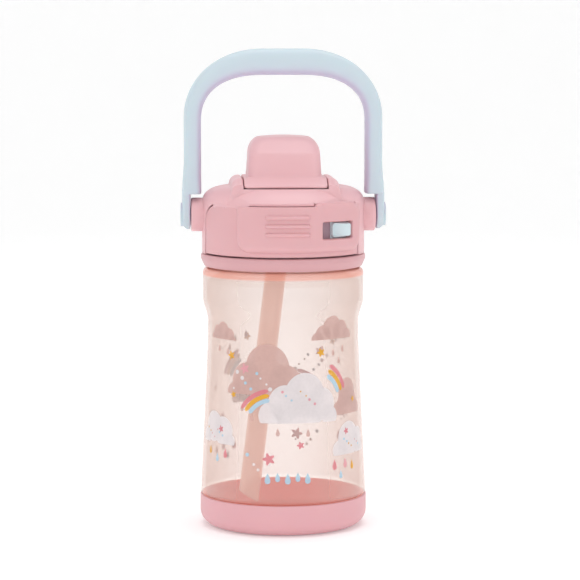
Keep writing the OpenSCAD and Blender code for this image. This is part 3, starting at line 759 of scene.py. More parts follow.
def thread_ridges(wall: float, side: int, start: float, turns: float = 0.72, lead: float = 12.0,
                  depth: float = 1.2) -> Surface:
    """Three thread ridges: a trapezium carried along (r cos t, r sin t, start + lead t / 2 pi).

    Args:
        wall: Radius of the wall that carries them.
        side: 1 for ridges outside the wall and -1 for inside.
        start: Height where each begins.
        turns: Part of a turn that each covers.
        lead: Rise in one turn.
        depth: How far they stand off.

    Returns:
        The closed ridges.
    """
    share = np.linspace(0, 1, 90)
    fade = np.clip(np.minimum(share, 1 - share) / 0.09, 0, 1) ** 0.6
    up = np.array([-0.95, -0.75, -0.5, 0.5, 0.75, 0.95, 0.0])
    out = np.array([0.0, 0.75, 1.0, 1.0, 0.75, 0.0, -0.3])
    radius = wall + side * (depth * out * fade[:, None] - 0.05)
    height = start + lead * turns * share[:, None] + up * (0.25 + 0.75 * fade[:, None])
    ridges = []
    for first in np.radians([0, 120, 240]):
        turn = first + 2 * np.pi * turns * share[:, None] + 0 * up
        ring = np.stack([radius * np.cos(turn), radius * np.sin(turn), height], axis=2)
        ends = ring[[0, -1]].mean(axis=1, keepdims=True) + 0 * ring[[0, -1]]
        ridges.append(Surface.grid(np.concatenate([ends[:1], ring, ends[1:]]), close=True))
    return ridges[0].joined(*ridges[1:])


def closed_relief(face: Array, phi: Array, z: Array, inner: float) -> Surface:
    """A relief over (angle, height), closed behind by a plain cylinder wall.

    Args:
        face: (rows, columns) radii of the front.
        phi: Angles of the columns.
        z: Heights, (rows, columns) or (rows, 1).
        inner: Radius of the wall behind.

    Returns:
        The closed surface, whose places are (R sin phi, -R cos phi, z).
    """
    turn = np.radians(phi)
    z = z + 0 * turn
    ends = z[[0, -1]]
    front = np.stack([face * np.sin(turn), -face * np.cos(turn), z], axis=2)
    back = np.stack([inner * np.sin(turn) + 0 * ends, -inner * np.cos(turn) + 0 * ends, ends], axis=2)
    body = Surface.grid(np.concatenate([back[:1], front, back[1:], back[:1]]))
    index = np.arange((len(z) + 3) * len(phi)).reshape(len(z) + 3, len(phi))
    body.faces += [index[:-1, 0][None, ::-1], index[:-1, -1][None]]
    return body


# ---------------------------------------------------------------- bottle and base


@dataclass
class BottleBody:
    """The clear screw-neck bottle, with its floor, ledge and three-start thread."""

    finish: ClearResin
    wall: float = 2.0
    base_r: float = 39.45
    waist_r: float = 35.9
    shoulder_r: float = 38.2
    step: float = 15.1
    waist: tuple[float, float] = (88.0, 98.3)
    shoulder: tuple[float, float] = (109.0, 117.2)
    ledge_r: float = 34.4
    ledge: tuple[float, float] = (123.2, 123.7)
    neck_r: float = 31.6
    neck_top: float = 141.0

    def radius(self, z: Array) -> Array:
        """Outer radius of the body: a straight taper, a waist, and a cosine flare to the shoulder."""
        low, high = self.waist
        taper = self.waist_r + (self.base_r - self.waist_r) * (low - z) / (low - self.step)
        share = np.clip((z - high) / (self.shoulder[0] - high), 0, 1)
        flare = self.waist_r + (self.shoulder_r - self.waist_r) * (1 - np.cos(np.pi * share)) / 2
        return np.where(z < low, taper, flare)

    def profile(self) -> Array:
        """Half section of the wall.

        Returns:
            (n, 2) radii and heights, up the outside, over the lip and down the inside.
        """
        z = np.concatenate([np.linspace(16.2, 86, 30), np.linspace(87, 116.6, 60)])
        outer = np.stack([self.radius(z), z], axis=1)
        inner = np.stack([self.radius(z) - self.wall, z], axis=1)[::-1]
        inner = inner[inner[:, 1] > self.step + 3.4]
        foot = filleted([(0, 5.2, 0), (8, 5.2, 5), (24, 2.2, 5), (37.5, 2.2, 7.0), (37.5, 15.1, 0.7),
                         (39.45, 15.1, 0.8), tuple(outer[0]) + (0,)])
        top = filleted([tuple(outer[-1]) + (0,), (38.2, 123.2, 5.9), (self.ledge_r - 0.6, 123.2, 0.2),
                        (self.ledge_r - 0.8, 123.7, 0.2), (self.neck_r, 123.7, 0.6),
                        (self.neck_r, self.neck_top, 0.7), (self.neck_r - self.wall, self.neck_top, 0.7),
                        (self.neck_r - self.wall, 120.6, 4.0), tuple(inner[0]) + (0,)])
        floor = filleted([tuple(inner[-1]) + (0,), (37.3, 17.3, 1.5), (35.5, 11.9, 1.5),
                          (35.5, 4.2, 5.0), (24, 4.2, 5), (8, 7.2, 5), (0, 7.2, 0)])
        return np.concatenate([foot, outer[1:-1], top, inner[1:-1], floor])

    def build(self) -> bpy.types.Object:
        """Builds the bottle.

        Returns:
            The object.
        """
        shell = Surface.revolve(self.profile(), 256)
        shell = shell.joined(thread_ridges(self.neck_r, 1, self.ledge[1] + 4))
        return shell.piece("bottle_clear", "bottle", "clear_peach", self.finish.make(), ["bottle_body"])


@dataclass
class BaseCup:
    """The satin cup that the bottle's foot stands in."""

    finish: PaintedShadeRecessPlastic
    radius: float = 39.7
    height: float = 14.8
    wall: float = 2.0
    rounding: float = 9.2

    def build(self) -> bpy.types.Object:
        """Builds the cup as one closed half section turned round the axis.

        Returns:
            The object.
        """
        r, h, w = self.radius, self.height, self.wall
        profile = filleted([(0, 0, 0), (r, 0, self.rounding), (r, h, 0.7), (r - w, h, 0.7),
                            (r - w, w, self.rounding - w), (0, w, 0)], 14)
        return Surface.revolve(profile, 256).piece("base_cup_satin", "bottle", "satin_pink",
                                                   self.finish.make(), ["base_cup"])


# ---------------------------------------------------------------- lid


@dataclass
class ThreadedCollar:
    """The lid's screw part: collar, threaded sleeve, deck with its hole and sockets, and plug."""

    finish: MouldedPlastic
    collar_r: float = 39.0
    low: float = 124.0
    top: float = 130.0
    sleeve: tuple[float, float] = (33.35, 34.75)
    deck: tuple[float, float] = (142.4, 144.4)
    plug: tuple[float, float] = (27.2, 29.2)
    hole: float = 5.3
    spout_y: float = -3.5
    socket: tuple[float, float] = (11.7, 13.2)

    def deck_plate(self, height: float) -> Surface:
        """A flat ring between the sleeve and the off-centre hole: a lerp of two circles."""
        turn = np.linspace(0, 2 * np.pi, 128, endpoint=False)
        share = np.linspace(0, 1, 8)[:, None]
        ring = self.hole + (self.sleeve[0] - self.hole) * share
        y = self.spout_y * (1 - share) + ring * np.sin(turn)
        return Surface.grid(np.stack([ring * np.cos(turn), y, height + 0 * y], axis=2), close=True)

    def build(self) -> bpy.types.Object:
        """Builds the screw part.

        Returns:
            The object.
        """
        r, (s_in, s_out), (d_low, d_top) = self.collar_r, self.sleeve, self.deck
        shell = Surface.revolve(filleted([
            (s_in, d_low, 0), (s_in, self.low, 0.3), (s_out, self.low, 0.3), (s_out, self.top - 2, 0.4),
            (r - 2, self.top - 2, 1.6), (r - 3.1, self.low, 0.4), (r - 1.6, self.low, 0.7),
            (r, self.top - 2.4, 2.0), (r, self.top, 0.9), (s_out, self.top, 0.4),
            (s_out, d_top, 0.5), (s_in, d_top, 0)]))
        hole = Surface.revolve(np.array([(self.hole, d_low), (self.hole, d_top)]), 128, (0, self.spout_y))
        plug = Surface.revolve(filleted([
            (self.plug[0], d_low, 0), (self.plug[0], d_low - 6, 0.6), (self.plug[1], d_low - 6, 0.9),
            (self.plug[1], d_low, 0)]))
        socket = Surface.revolve(filleted([
            (self.socket[0], d_top, 0), (self.socket[0], d_top + 5, 0.4), (self.socket[1], d_top + 5, 0.4),
            (self.socket[1], d_top, 0)]), 128, (0, self.spout_y))
        seat = Surface.prism(round_outline(-4, 4, -26.5, -24.5, 0.5, 5, 3), d_top - 0.5, 151.5, 0.4, "z")
        ridges = thread_ridges(s_in, -1, 125.7)
        whole = shell.joined(self.deck_plate(d_low), self.deck_plate(d_top), hole, plug, socket, seat, ridges)
        return whole.piece("screw_collar", "lid", "lid_pink", self.finish.make(), ["threaded_lid"])


@dataclass
class LidShell:
    """The lid's outer shell: rounded shoulder, raised hood with rails, pocket, bosses and lugs."""

    finish: MouldedPlastic
    shell_r: float = 38.5
    low: float = 130.3
    crown: tuple[float, float] = (154.0, 162.0)
    crown_flat: float = 27.0
    hood_half: float = 25.4
    hood_back: float = 27.0
    rail_top: float = 166.5
    brow: float = 163.4
    pocket_half: float = 19.8
    pocket: tuple[float, float] = (-24.0, 21.2)
    pocket_z: float = 161.7
    panel_phi: tuple[float, float] = (-75.93, 63.93)
    panel_top: float = 154.5
    panel_corner: float = 12.0
    hump_phi: tuple[float, float] = (18.4, 58.0)
    hump_top: float = 156.1
    slot: tuple[float, float, float] = (5.6, -25.4, -19.8)
    spout: tuple[float, float] = (-3.5, 9.0)
    boss: tuple[float, float] = (148.3, 8.0)

    def edge_height(self, phi: Array) -> Array:
        """Height of the shell's lower edge at each angle.

        Args:
            phi: Angles from the front.

        Returns:
            The low edge, and over the panel its rounded corner, its top and the hump.
        """
        left, right = self.panel_phi
        arc_mm = (phi - left) * np.pi / 180 * self.shell_r
        corner = self.panel_top - CORNER_DROP + CORNER_DROP * quarter(arc_mm / self.panel_corner)
        inside = (phi > left) & (phi < right)
        hump = (phi > self.hump_phi[0]) & (phi < self.hump_phi[1])
        return np.where(hump, self.hump_top, np.where(inside, corner, self.low))

    def skin_height(self, x: Array, y: Array, between: Array) -> Array:
        """Height of the lid's top at each place.

        Args:
            x: Places across.
            y: Places from front to back.
            between: True for the columns that run out to the front between the rails.

        Returns:
            The soft maximum of the crown, a quarter superellipse in radius, and the hood, whose top
            runs from the brow down to the front edge along each x and is drawn in at its rim.
        """
        r = np.hypot(x, y)
        phi = np.abs(np.degrees(np.arctan2(x, -y)))
        power = 1.4 + 0.8 * np.clip((phi - 46) / 24, 0, 1)
        low, high = self.crown
        crown = low + (high - low) * quarter((self.shell_r - r) / (self.shell_r - self.crown_flat), power)
        edge_y = -np.sqrt(np.maximum((self.shell_r - 0.1) ** 2 - x ** 2, 1.0))
        down = np.clip((-26 - y) / np.minimum(-26 - edge_y, -0.5) * -1, 0, 1)
        slope = self.brow - (self.brow - low - 1.5) * down + 5.0 * down * (1 - down)
        knots = [-26, -18.5, 13, 21, 27], [self.brow, self.rail_top, self.rail_top, 164.4, 161.8]
        shifts = (-1.2, -0.6, 0, 0.6, 1.2)
        bend = sum(np.interp(y + d, *knots) for d in shifts) / len(shifts)
        top = np.where(y < -26, slope, bend)
        half = np.interp(y, [-35.5, -34.0, -26.5, -24], [16.4, 17.6, self.hood_half - 0.6, self.hood_half])
        side = np.abs(x) - half
        back = y - self.hood_back
        out = np.where(y > 0, box_distance(x, y, self.hood_half, self.hood_back, 7.0),
                       np.maximum(side, back))
        rounding = np.interp(y, [-28, -23], [0.7, 4.2])
        wall = np.interp(y, [-29, -24], [2.4, 3.5])
        drop = rounding * (1 - np.sqrt(1 - np.clip(1 + out / rounding, 0, 1) ** 2)) + wall * np.maximum(out, 0)
        beside = np.clip((np.abs(x) - half + 1) / 3, 0, 1) * np.clip((half + 7 - np.abs(x)) / 5, 0, 1)
        hollow = 2.0 * beside * np.clip((-24 - y) / 4, 0, 1) * np.clip((crown - low) / 2, 0, 1)
        skin = smooth_max(crown - hollow, top - drop, 0.4)
        outside = np.hypot(np.maximum(np.abs(x) - self.pocket_half, 0), np.maximum(y - self.pocket[1], 0))
        lip = 0.9 * (1 - quarter(outside / 0.9)) * np.clip((skin - self.pocket_z) / 1.5, 0, 1)
        return np.where(between, np.minimum(skin, self.pocket_z), skin - lip)

    def rays(self, phi: Array) -> tuple[Array, Array, Array, Array, Array]:
        """Start and direction of the grid line that meets the rim at each angle.

        Args:
            phi: Angles from the front towards +X, in degrees.

        Returns:
            Start x, start y, direction x, direction y, and whether it runs out between the rails.
        """
        a, (front, back) = self.pocket_half, self.pocket
        knots = np.arange(9)
        start_x = np.array([-a, a, a, a, a, -a, -a, -a, -a])
        start_y = np.array([front, front, front, back, back, back, back, front, front])
        angle = np.radians([0, 0, 90, 90, 180, 180, 270, 270, 360])
        dense = np.linspace(0, 8, 16001)

        def line(v: Array) -> tuple[Array, Array, Array, Array]:
            """Start and direction at a place v on the run of sides and corners."""
            turn = np.interp(v, knots, angle)
            return (np.interp(v, knots, start_x), np.interp(v, knots, start_y), np.sin(turn), -np.cos(turn))

        sx, sy, dx, dy = line(dense)
        reach = self.reach(sx, sy, dx, dy, np.full_like(sx, self.shell_r))
        hit = np.unwrap(np.arctan2(sx + reach * dx, -(sy + reach * dy)))
        base = np.degrees(hit)
        wanted = base[0] + (phi - base[0]) % 360
        v = np.interp(wanted, base, dense)
        v = np.where(np.abs(v - 1) < 1e-4, 1.0, v)
        return (*line(v), (v <= 1.0) | (v >= 8.0))

    @staticmethod
    def reach(sx: Array, sy: Array, dx: Array, dy: Array, radius: Array) -> Array:
        """Distance along a line to a circle: -s.d + sqrt((s.d)^2 - s.s + r^2)."""
        dot = sx * dx + sy * dy
        return -dot + np.sqrt(dot ** 2 - sx ** 2 - sy ** 2 + radius ** 2)

    def angles(self) -> Array:
        """Angles of the grid's columns: even ones, with close pairs at every upright edge."""
        edge = [*self.panel_phi, *self.hump_phi]
        close = np.concatenate([np.array(edge) + d for d in (-0.06, 0.06)])
        corner = self.panel_phi[0] + np.degrees(self.panel_corner / self.shell_r) * np.linspace(0, 1, 26) ** 1.6
        front = np.degrees(np.arctan2(self.pocket_half, np.sqrt(self.shell_r ** 2 - self.pocket_half ** 2)))
        wall = [-front - 0.004, -front + 0.004, front - 0.004, front + 0.004]
        return np.unique(np.round(np.concatenate([np.arange(-180, 180, 1.0), close, corner, wall]), 4))

    def outer_sheet(self) -> Surface:
        """Pocket wall, top and side of the shell.

        Returns:
            One grid, whose columns are rays from the pocket and whose rows go outwards.
        """
        phi = self.angles()
        sx, sy, dx, dy, between = self.rays(phi)
        edge = self.edge_height(phi)
        near = np.concatenate([[0, 0.06, 0.15, 0.3, 0.5, 0.7, 0.9], np.arange(1.2, 6.9, 0.2)])[:, None]
        last = near[-1, 0]
        total = self.reach(sx, sy, dx, dy, np.full_like(sx, self.shell_r))
        far = total - (total - last) * (1 - np.linspace(0, 1, 30)[1:, None]) ** 2
        along = np.concatenate([near + 0 * sx, far])
        x, y = sx + along * dx, sy + along * dy
        z = self.skin_height(x, y, between)
        rim = np.clip((np.hypot(x, y) - self.shell_r + 1.2) / 0.5, 0, 1)
        z = z + rim * np.maximum(edge - z, 0)
        tall = np.linspace(1, 0, 6)[:-1, None]
        wall_z = self.pocket_z + (z[:1] - self.pocket_z) * (1 - tall)
        side_z = z[-1:] + (np.minimum(edge, z[-1:]) - z[-1:]) * np.linspace(0, 1, 13)[1:, None]
        x = np.concatenate([x[:1] + 0 * tall, x, x[-1:] + 0 * side_z])
        y = np.concatenate([y[:1] + 0 * tall, y, y[-1:] + 0 * side_z])
        return Surface.grid(np.stack([x, y, np.concatenate([wall_z, z, side_z])], axis=2), close=True)

    def pocket_floor(self) -> Surface:
        """Flat floor of the pocket.

        Returns:
            A square grid without the faces over the latch slot and the spout hole.
        """
        half, front, back = self.slot
        x = np.unique(np.concatenate([np.linspace(-self.pocket_half, self.pocket_half, 80), [-half, half]]))
        y = np.unique(np.concatenate([np.linspace(-26.2, self.pocket[1], 94), [front, back]]))
        gx, gy = np.meshgrid(x, y, indexing="ij")
        sheet = Surface.grid(np.stack([gx, gy, np.full_like(gx, self.pocket_z)], axis=2))
        mid = sheet.points[sheet.faces[0]].mean(axis=1)
        slot = (np.abs(mid[:, 0]) < half) & (mid[:, 1] > front) & (mid[:, 1] < back)
        hole = np.hypot(mid[:, 0], mid[:, 1] - self.spout[0]) < self.spout[1]
        return Surface(sheet.points, [sheet.faces[0][~(slot | hole)]])

    def build(self) -> list[bpy.types.Object]:
        """Builds the shell, its pocket floor, the ring round the spout, the bosses and the lugs.

        Returns:
            The objects.
        """
        finish = self.finish.make()
        shell = self.outer_sheet().piece("lid_shell_skin", "lid", "lid_pink", finish, ["lid_shell"], wall=1.6)
        floor = self.pocket_floor().piece("pocket_floor", "lid", "lid_pink", finish, ["lid_shell"], wall=1.5)
        spout_y, hole = self.spout
        ring = Surface.revolve(filleted([(hole - 0.4, 158.6, 0), (hole - 0.4, 162.15, 0.4),
                                         (hole + 1.2, 162.15, 0.4), (hole + 1.2, 158.6, 0.2),
                                         (hole - 0.4, 158.6, 0)]), 128, (0, spout_y))
        turn = np.linspace(0, 2 * np.pi, 72, endpoint=False)
        disc = np.stack([np.cos(turn), self.boss[0] / self.boss[1] + np.sin(turn)], axis=1) * self.boss[1]
        boss = Surface.prism(disc, 36.2, 43.7, 0.8)
        arch = np.radians(np.linspace(0, 180, 25))
        lug_line = np.concatenate([[[20, 161.2]], np.stack([17 + 3 * np.cos(arch), 165.5 + 3 * np.sin(arch)],
                                                          axis=1), [[14, 161.2]]])
        lug = Surface.prism(lug_line, 11.3, 17.0, 0.5)
        whole = ring.joined(boss, boss.mirrored_x(), lug, lug.mirrored_x())
        return [shell, floor, whole.piece("lid_bosses", "lid", "lid_pink", finish, ["lid_shell"])]


@dataclass
class SpoutCover:
    """The flip-up cover: rim plate, dome, knuckles and latch tongue."""

    finish: MouldedPlastic
    rim_half: float = 19.4
    rim_y: tuple[float, float] = (-26.0, 13.2)
    rim_z: tuple[float, float] = (162.2, 166.7)
    dome_top: float = 186.0
    hinge: tuple[float, float] = (17.0, 165.5)

    def rim_height(self, y: Array) -> Array:
        """Height of the rim's upper face: a front slope up to y = -19, then level."""
        return np.interp(y, [-26, -19.6, -18.6], [163.2, 166.4, self.rim_z[1]])

    def dome_rings(self) -> Array:
        """Outlines of the dome from its foot to its tip.

        Returns:
            (rows, columns, 3). Half width, front and back follow profiles of a height parameter, and
            each ring is a rounded rectangle between them.
        """
        side = filleted([(17.4, 166.6, 0), (16.3, 185.4, 8.4), (0, 187.2, 0)], 16)
        front = filleted([(19.0, 166.6, 0), (18.0, 177.6, 0.9), (10.5, 185.0, 8.0), (4.0, 186.0, 0)], 12)
        back = filleted([(12.0, 166.6, 0), (11.4, 185.7, 7.2), (2.0, 186.2, 0)], 16)
        stop = 184.5
        levels = np.concatenate([166.6 + np.linspace(0, 1, 10)[1:] * 9.0,
                                 175.6 + (stop - 175.6) * quarter(np.linspace(0, 1, 26)[1:], 1.5)])
        half = np.interp(levels, side[:, 1], side[:, 0])
        fore = np.interp(levels, front[:, 1], front[:, 0])
        aft = np.interp(levels, back[:, 1], back[:, 0])
        share = np.linspace(0, 1, 15)[1:]
        cap = 1 - share
        half = np.concatenate([half, half[-1] * cap])
        mid = 0.5 * (aft[-1] - fore[-1])
        fore = np.concatenate([fore, -mid + (fore[-1] + mid) * cap])
        aft = np.concatenate([aft, mid + (aft[-1] - mid) * cap])
        heights = np.concatenate([levels, stop + (self.dome_top - stop) * quarter(share, 2.0)])
        rings = []
        for w, f, b, z in zip(half, fore, aft, heights):
            radius = min(5.6, 0.8 * w + 0.001, 0.4 * (f + b) + 0.001)
            line = round_outline(-w, w, -f, b, radius)
            rings.append(np.column_stack([line, np.full(len(line), z)]))
        return np.array(rings)

    def sheet(self) -> Surface:
        """Rim side, rim top and dome.

        Returns:
            One grid of outlines, open below.
        """
        low = self.rim_z[0]
        rows = []
        for inset, share in ((0.0, 0.0), (0.0, 0.5), (0.0, 0.8), (0.1, 0.92), (0.3, 0.985), (0.6, 1.0),
                             (1.0, 1.0)):
            line = round_outline(inset - self.rim_half, self.rim_half - inset, self.rim_y[0] + inset,
                                 self.rim_y[1] - inset, 1.6 + 0.1 * inset)
            top = self.rim_height(line[:, 1])
            rows.append(np.column_stack([line, low + (top - low) * share]))
        dome = self.dome_rings()
        start, foot = rows[-1], dome[0]
        for share, rise in ((0.4, 0.0), (0.7, 0.0), (0.86, 0.03), (0.94, 0.15), (0.985, 0.4)):
            line = start[:, :2] + (foot[:, :2] - start[:, :2]) * share
            rows.append(np.column_stack([line, self.rim_height(line[:, 1]) + rise]))
        foot_z = np.maximum(dome[:1, :, 2], self.rim_height(dome[:1, :, 1]) + 0.9)
        first = np.dstack([dome[:1, :, :2], foot_z])
        return Surface.grid(np.concatenate([np.array(rows), first, dome[1:]]), close=True)

    def build(self) -> list[bpy.types.Object]:
        """Builds the cover.

        Returns:
            The objects.
        """
        finish = self.finish.make()
        dome = self.sheet().piece("cover_dome", "spout_cover", "lid_pink", finish, ["spout_cover"], wall=1.8)
        y, z = self.hinge
        turn = np.radians(np.linspace(-130, 130, 40))
        knuckle_line = np.concatenate([np.stack([y + 3 * np.cos(turn), z + 3 * np.sin(turn)], axis=1),
                                       [[12.0, z + 1.4], [12.0, z - 1.4]]])
        knuckle = Surface.prism(knuckle_line, 4.8, 11.0, 0.4)
        tongue = Surface.prism(np.array([[-22.4, 163.2], [-22.4, 157.0], [-25.0, 157.0], [-24.0, 158.4],
                                         [-24.0, 163.2]]), -5, 5, 0.3)
        parts = knuckle.joined(knuckle.mirrored_x(), tongue)
        return [dome, parts.piece("cover_hinge", "spout_cover", "lid_pink", finish, ["spout_cover"])]


@dataclass
class PushButton:
    """The wide front panel with its raised pad, grip ribs, hump and window."""

    finish: PaintedShadeRecessPlastic
    radius: tuple[float, float] = (36.3, 38.5)
    phi: tuple[float, float] = (-74.0, 62.0)
    z: tuple[float, float] = (130.7, 154.2)
    corner: float = 12.0
    pad_phi: tuple[float, float] = (-36.4, 60.9)
    pad_z: tuple[float, float] = (132.9, 156.0)
    pad_out: float = 2.5
    window_phi: tuple[float, float] = (23.5, 49.5)
    window_z: tuple[float, float] = (139.0, 147.0)
    rib_phi: float = 14.5
    rib_z: tuple[float, ...] = (141.5, 145.4, 149.3)
    hump: float = 1.75
    hump_phi: tuple[float, float] = (18.8, 60.0)
    right_corner: tuple[float, float] = (7.0, 6.0)

    def relief(self, phi: Array, z: Array, top: Array) -> Array:
        """Radius of the panel's front at each angle and height.

        Args:
            phi: Angles from the front.
            z: Heights.
            top: Height of the panel's upper edge at that angle.

        Returns:
            The panel's radius, plus the pad, plus the ribs, less the window, less the edge rounding.
        """
        to_mm = np.pi / 180 * self.radius[1]
        arc = phi * to_mm
        mid = 0.5 * (self.pad_phi[0] + self.pad_phi[1]) * to_mm
        half = 0.5 * (self.pad_phi[1] - self.pad_phi[0]) * to_mm
        low, high = self.pad_z[0], self.pad_z[1] + 6
        pad = -box_distance(arc - mid, z - 0.5 * (low + high), half, 0.5 * (high - low), 6.4)
        soft = 3.3 - 0.6 * np.clip((z - 141) / 4, 0, 1) * np.clip((phi - 20) / 10, 0, 1)
        pad = self.pad_out * quarter(pad / soft, 1.8)
        face = self.radius[1] + pad
        for height in self.rib_z:
            rib = -box_distance(arc, z - height, self.rib_phi * to_mm, 0.95, 0.94)
            face = face + 1.15 * quarter(rib / 0.95, 2.2)
        w_mid = 0.5 * (self.window_phi[0] + self.window_phi[1]) * to_mm
        w_half = 0.5 * (self.window_phi[1] - self.window_phi[0]) * to_mm
        hole = -box_distance(arc - w_mid, z - 0.5 * (self.window_z[0] + self.window_z[1]), w_half,
                             0.5 * (self.window_z[1] - self.window_z[0]), 0.9)
        lip = np.clip(1 + hole / 0.7, 0, 1)
        face = face - 0.5 * (1 - np.sqrt(1 - np.where(hole < 0, lip, 0) ** 2))
        face = np.where(hole > 0, np.maximum(self.radius[0] + 0.5, face - 8 * np.minimum(hole / 0.3, 1)), face)
        from_top = top - z
        sides = np.minimum(np.minimum(phi - self.phi[0], self.phi[1] - phi) * to_mm, z - self.z[0])
        brow = 2.6 * np.clip((phi - 19) / 6, 0, 1) * np.clip((61 - phi) / 4, 0, 1)
        face = face - brow * (1 - quarter(from_top / np.maximum(2 * brow, 0.1)))
        edge = np.minimum(sides, from_top)
        return face - 0.7 * (1 - quarter(edge / 0.7))

    def top_edge(self, phi: Array) -> Array:
        """Height of the upper edge at each angle.

        Args:
            phi: Angles from the front.

        Returns:
            The edge, rounded at both ends, with a smooth hump over the window.
        """
        arc = (phi - self.phi[0]) * np.pi / 180 * self.radius[1]
        left = self.z[1] - CORNER_DROP + CORNER_DROP * quarter(arc / self.corner)
        start, end = self.hump_phi
        lift = self.hump * quarter((phi - start) / 5.5, 1.8) * quarter((end - phi) / 9.5, 2.0)
        wide, tall = self.right_corner
        right = (phi - self.phi[1]) * np.pi / 180 * self.radius[1] + wide
        fall = tall * (1 - np.sqrt(1 - np.clip(right / wide, 0, 1) ** 2))
        return left + lift - fall

    def build(self) -> bpy.types.Object:
        """Builds the button: a relief over (angle, height), closed behind by a plain cylinder wall.

        Returns:
            The object.
        """
        left, right = self.phi
        small = np.array([0, 0.02, 0.06, 0.14, 0.28, 0.5, 0.8])
        near = [left + small, right - small[::-1]]
        beside = np.array([-0.9, -0.5, -0.2, -0.02, 0.02, 0.2, 0.44])
        walls = [self.window_phi[0] + beside, self.window_phi[1] - beside]
        phi = np.unique(np.round(np.concatenate([np.arange(left, right, 0.42), *near, *walls]), 4))
        zs = np.concatenate([np.arange(self.z[0], self.z[1], 0.24), self.z[0] + small, self.z[1] - small,
                             self.window_z[0] + np.array([-0.3, -0.1, 0, 0.02, 0.15, 0.29]),
                             self.window_z[1] + np.array([0.3, 0.1, 0, -0.02, -0.15, -0.29])])
        base = np.unique(np.round(zs, 4))[:, None]
        top = self.top_edge(phi)
        knee = np.where(top > self.z[1], 151.0, self.z[0])
        rows = np.where(base > knee, knee + (base - knee) * (top - knee) / (self.z[1] - knee), base)
        face = self.relief(phi, rows, top)
        body = closed_relief(face, phi, rows, self.radius[0])
        catch = Surface.prism(np.array([[-37.0, 151.8], [-27.0, 151.8], [-26.4, 152.2], [-26.4, 155.4],
                                        [-27.8, 155.4], [-28.0, 153.8], [-37.0, 153.8]]), -4, 4, 0.3)
        turn = np.linspace(0, 2 * np.pi, 32, endpoint=False)
        guide = Surface.prism(np.stack([1.6 * np.cos(turn), 147.5 + 1.6 * np.sin(turn)], axis=1),
                              -36.9, -31.9, 0.3, "y")
        return body.joined(catch, guide).piece("button_panel", "push_button", "lid_pink", self.finish.make(),
                                               ["push_button"])


@dataclass
class LockSlider:
    """The small slider in the button's window: a curved plate with a dished thumb tab."""

    finish: MouldedPlastic
    plate_phi: tuple[float, float] = (33.0, 50.0)
    tab_phi: tuple[float, float] = (33.2, 49.4)
    plate: tuple[float, float] = (36.9, 37.3)
    mid_z: float = 143.0
    half_z: float = 3.9
    scale_r: float = 38.5

    def build(self) -> bpy.types.Object:
        """Builds the slider: a radial relief over (angle, height), closed behind.

        Returns:
            The object.
        """
        to_mm = np.pi / 180 * self.scale_r
        phi = np.linspace(*self.plate_phi, 130)
        z = np.linspace(self.mid_z - self.half_z, self.mid_z + self.half_z, 76)[:, None]
        mid = 0.5 * sum(self.tab_phi)
        half = 0.5 * (self.tab_phi[1] - self.tab_phi[0]) * to_mm
        tab = -box_distance((phi - mid) * to_mm, z - self.mid_z, half, 3.45, 1.6)
        dish = np.clip((self.tab_phi[1] - 4.5 - phi) / 9.5, 0, 1)
        height = 3.0 * quarter(tab / 0.9) - 2.8 * dish ** 1.3 * np.clip(tab / 0.9, 0, 1)
        edge = np.minimum(np.minimum(phi - self.plate_phi[0], self.plate_phi[1] - phi) * to_mm,
                          self.half_z - np.abs(z - self.mid_z))
        face = self.plate[1] + height - 0.3 * (1 - quarter(edge / 0.3))
        body = closed_relief(face, phi, z, self.plate[0])
        return body.piece("slider_tab", "lock_slider", "slider_blue", self.finish.make(), ["lock_slider"])


# ---------------------------------------------------------------- handle and drinking parts


@dataclass(frozen=True)
class PaintedShadeHandle:
    """Satin pale blue plastic with painted shade: lavender painted on the faces that look at the handle's
    middle, for their shade and the pink light they pick up from the lid.
    """

    name: str
    outside: str
    # inside: the painted lavender shade and painted pink reflection on the inward faces
    inside: str
    middle: tuple[float, float, float] = (0.0, 0.0, 0.185)

    def make(self) -> bpy.types.Material:
        """Builds the material: the share of painted lavender shade is normal . (middle - place), straightened.

        Returns:
            The node material.
        """
        bench = NodeBench(self.name)
        place = bench.add("ShaderNodeTexCoord")
        way = bench.add("ShaderNodeVectorMath", operation="SUBTRACT")
        way.inputs[0].default_value = self.middle
        bench.link(place.outputs["Object"], way.inputs[1])
        unit = bench.add("ShaderNodeVectorMath", operation="NORMALIZE")
        bench.link(way.outputs["Vector"], unit.inputs[0])
        dot = bench.add("ShaderNodeVectorMath", operation="DOT_PRODUCT")
        bench.link(unit.outputs["Vector"], dot.inputs[0])
        bench.link(place.outputs["Normal"], dot.inputs[1])
        # share of painted lavender shade on the faces that look inward
        share = bench.add("ShaderNodeMapRange", interpolation_type="SMOOTHSTEP")
        share.inputs["From Min"].default_value = -0.35
        share.inputs["From Max"].default_value = 0.75
        bench.link(dot.outputs["Value"], share.inputs["Value"])
        shader = bench.add("ShaderNodeBsdfPrincipled")
        bench.link(bench.blend(share.outputs["Result"], linear(self.outside), linear(self.inside)),
                   shader.inputs["Base Color"])
        grain = bench.noise(3600.0, 2.0)
        bench.link(bench.ramp(grain, 0.42, 0.54), shader.inputs["Roughness"])
        bench.link(bench.bump(grain, 0.006 * MM, 0.5), shader.inputs["Normal"])
        shader.inputs["IOR"].default_value = 1.48
        shader.inputs["Subsurface Weight"].default_value = 0.08
        shader.inputs["Subsurface Scale"].default_value = 2.0 * MM
        bench.link(shader.outputs["BSDF"], bench.output.inputs["Surface"])
        return bench.material


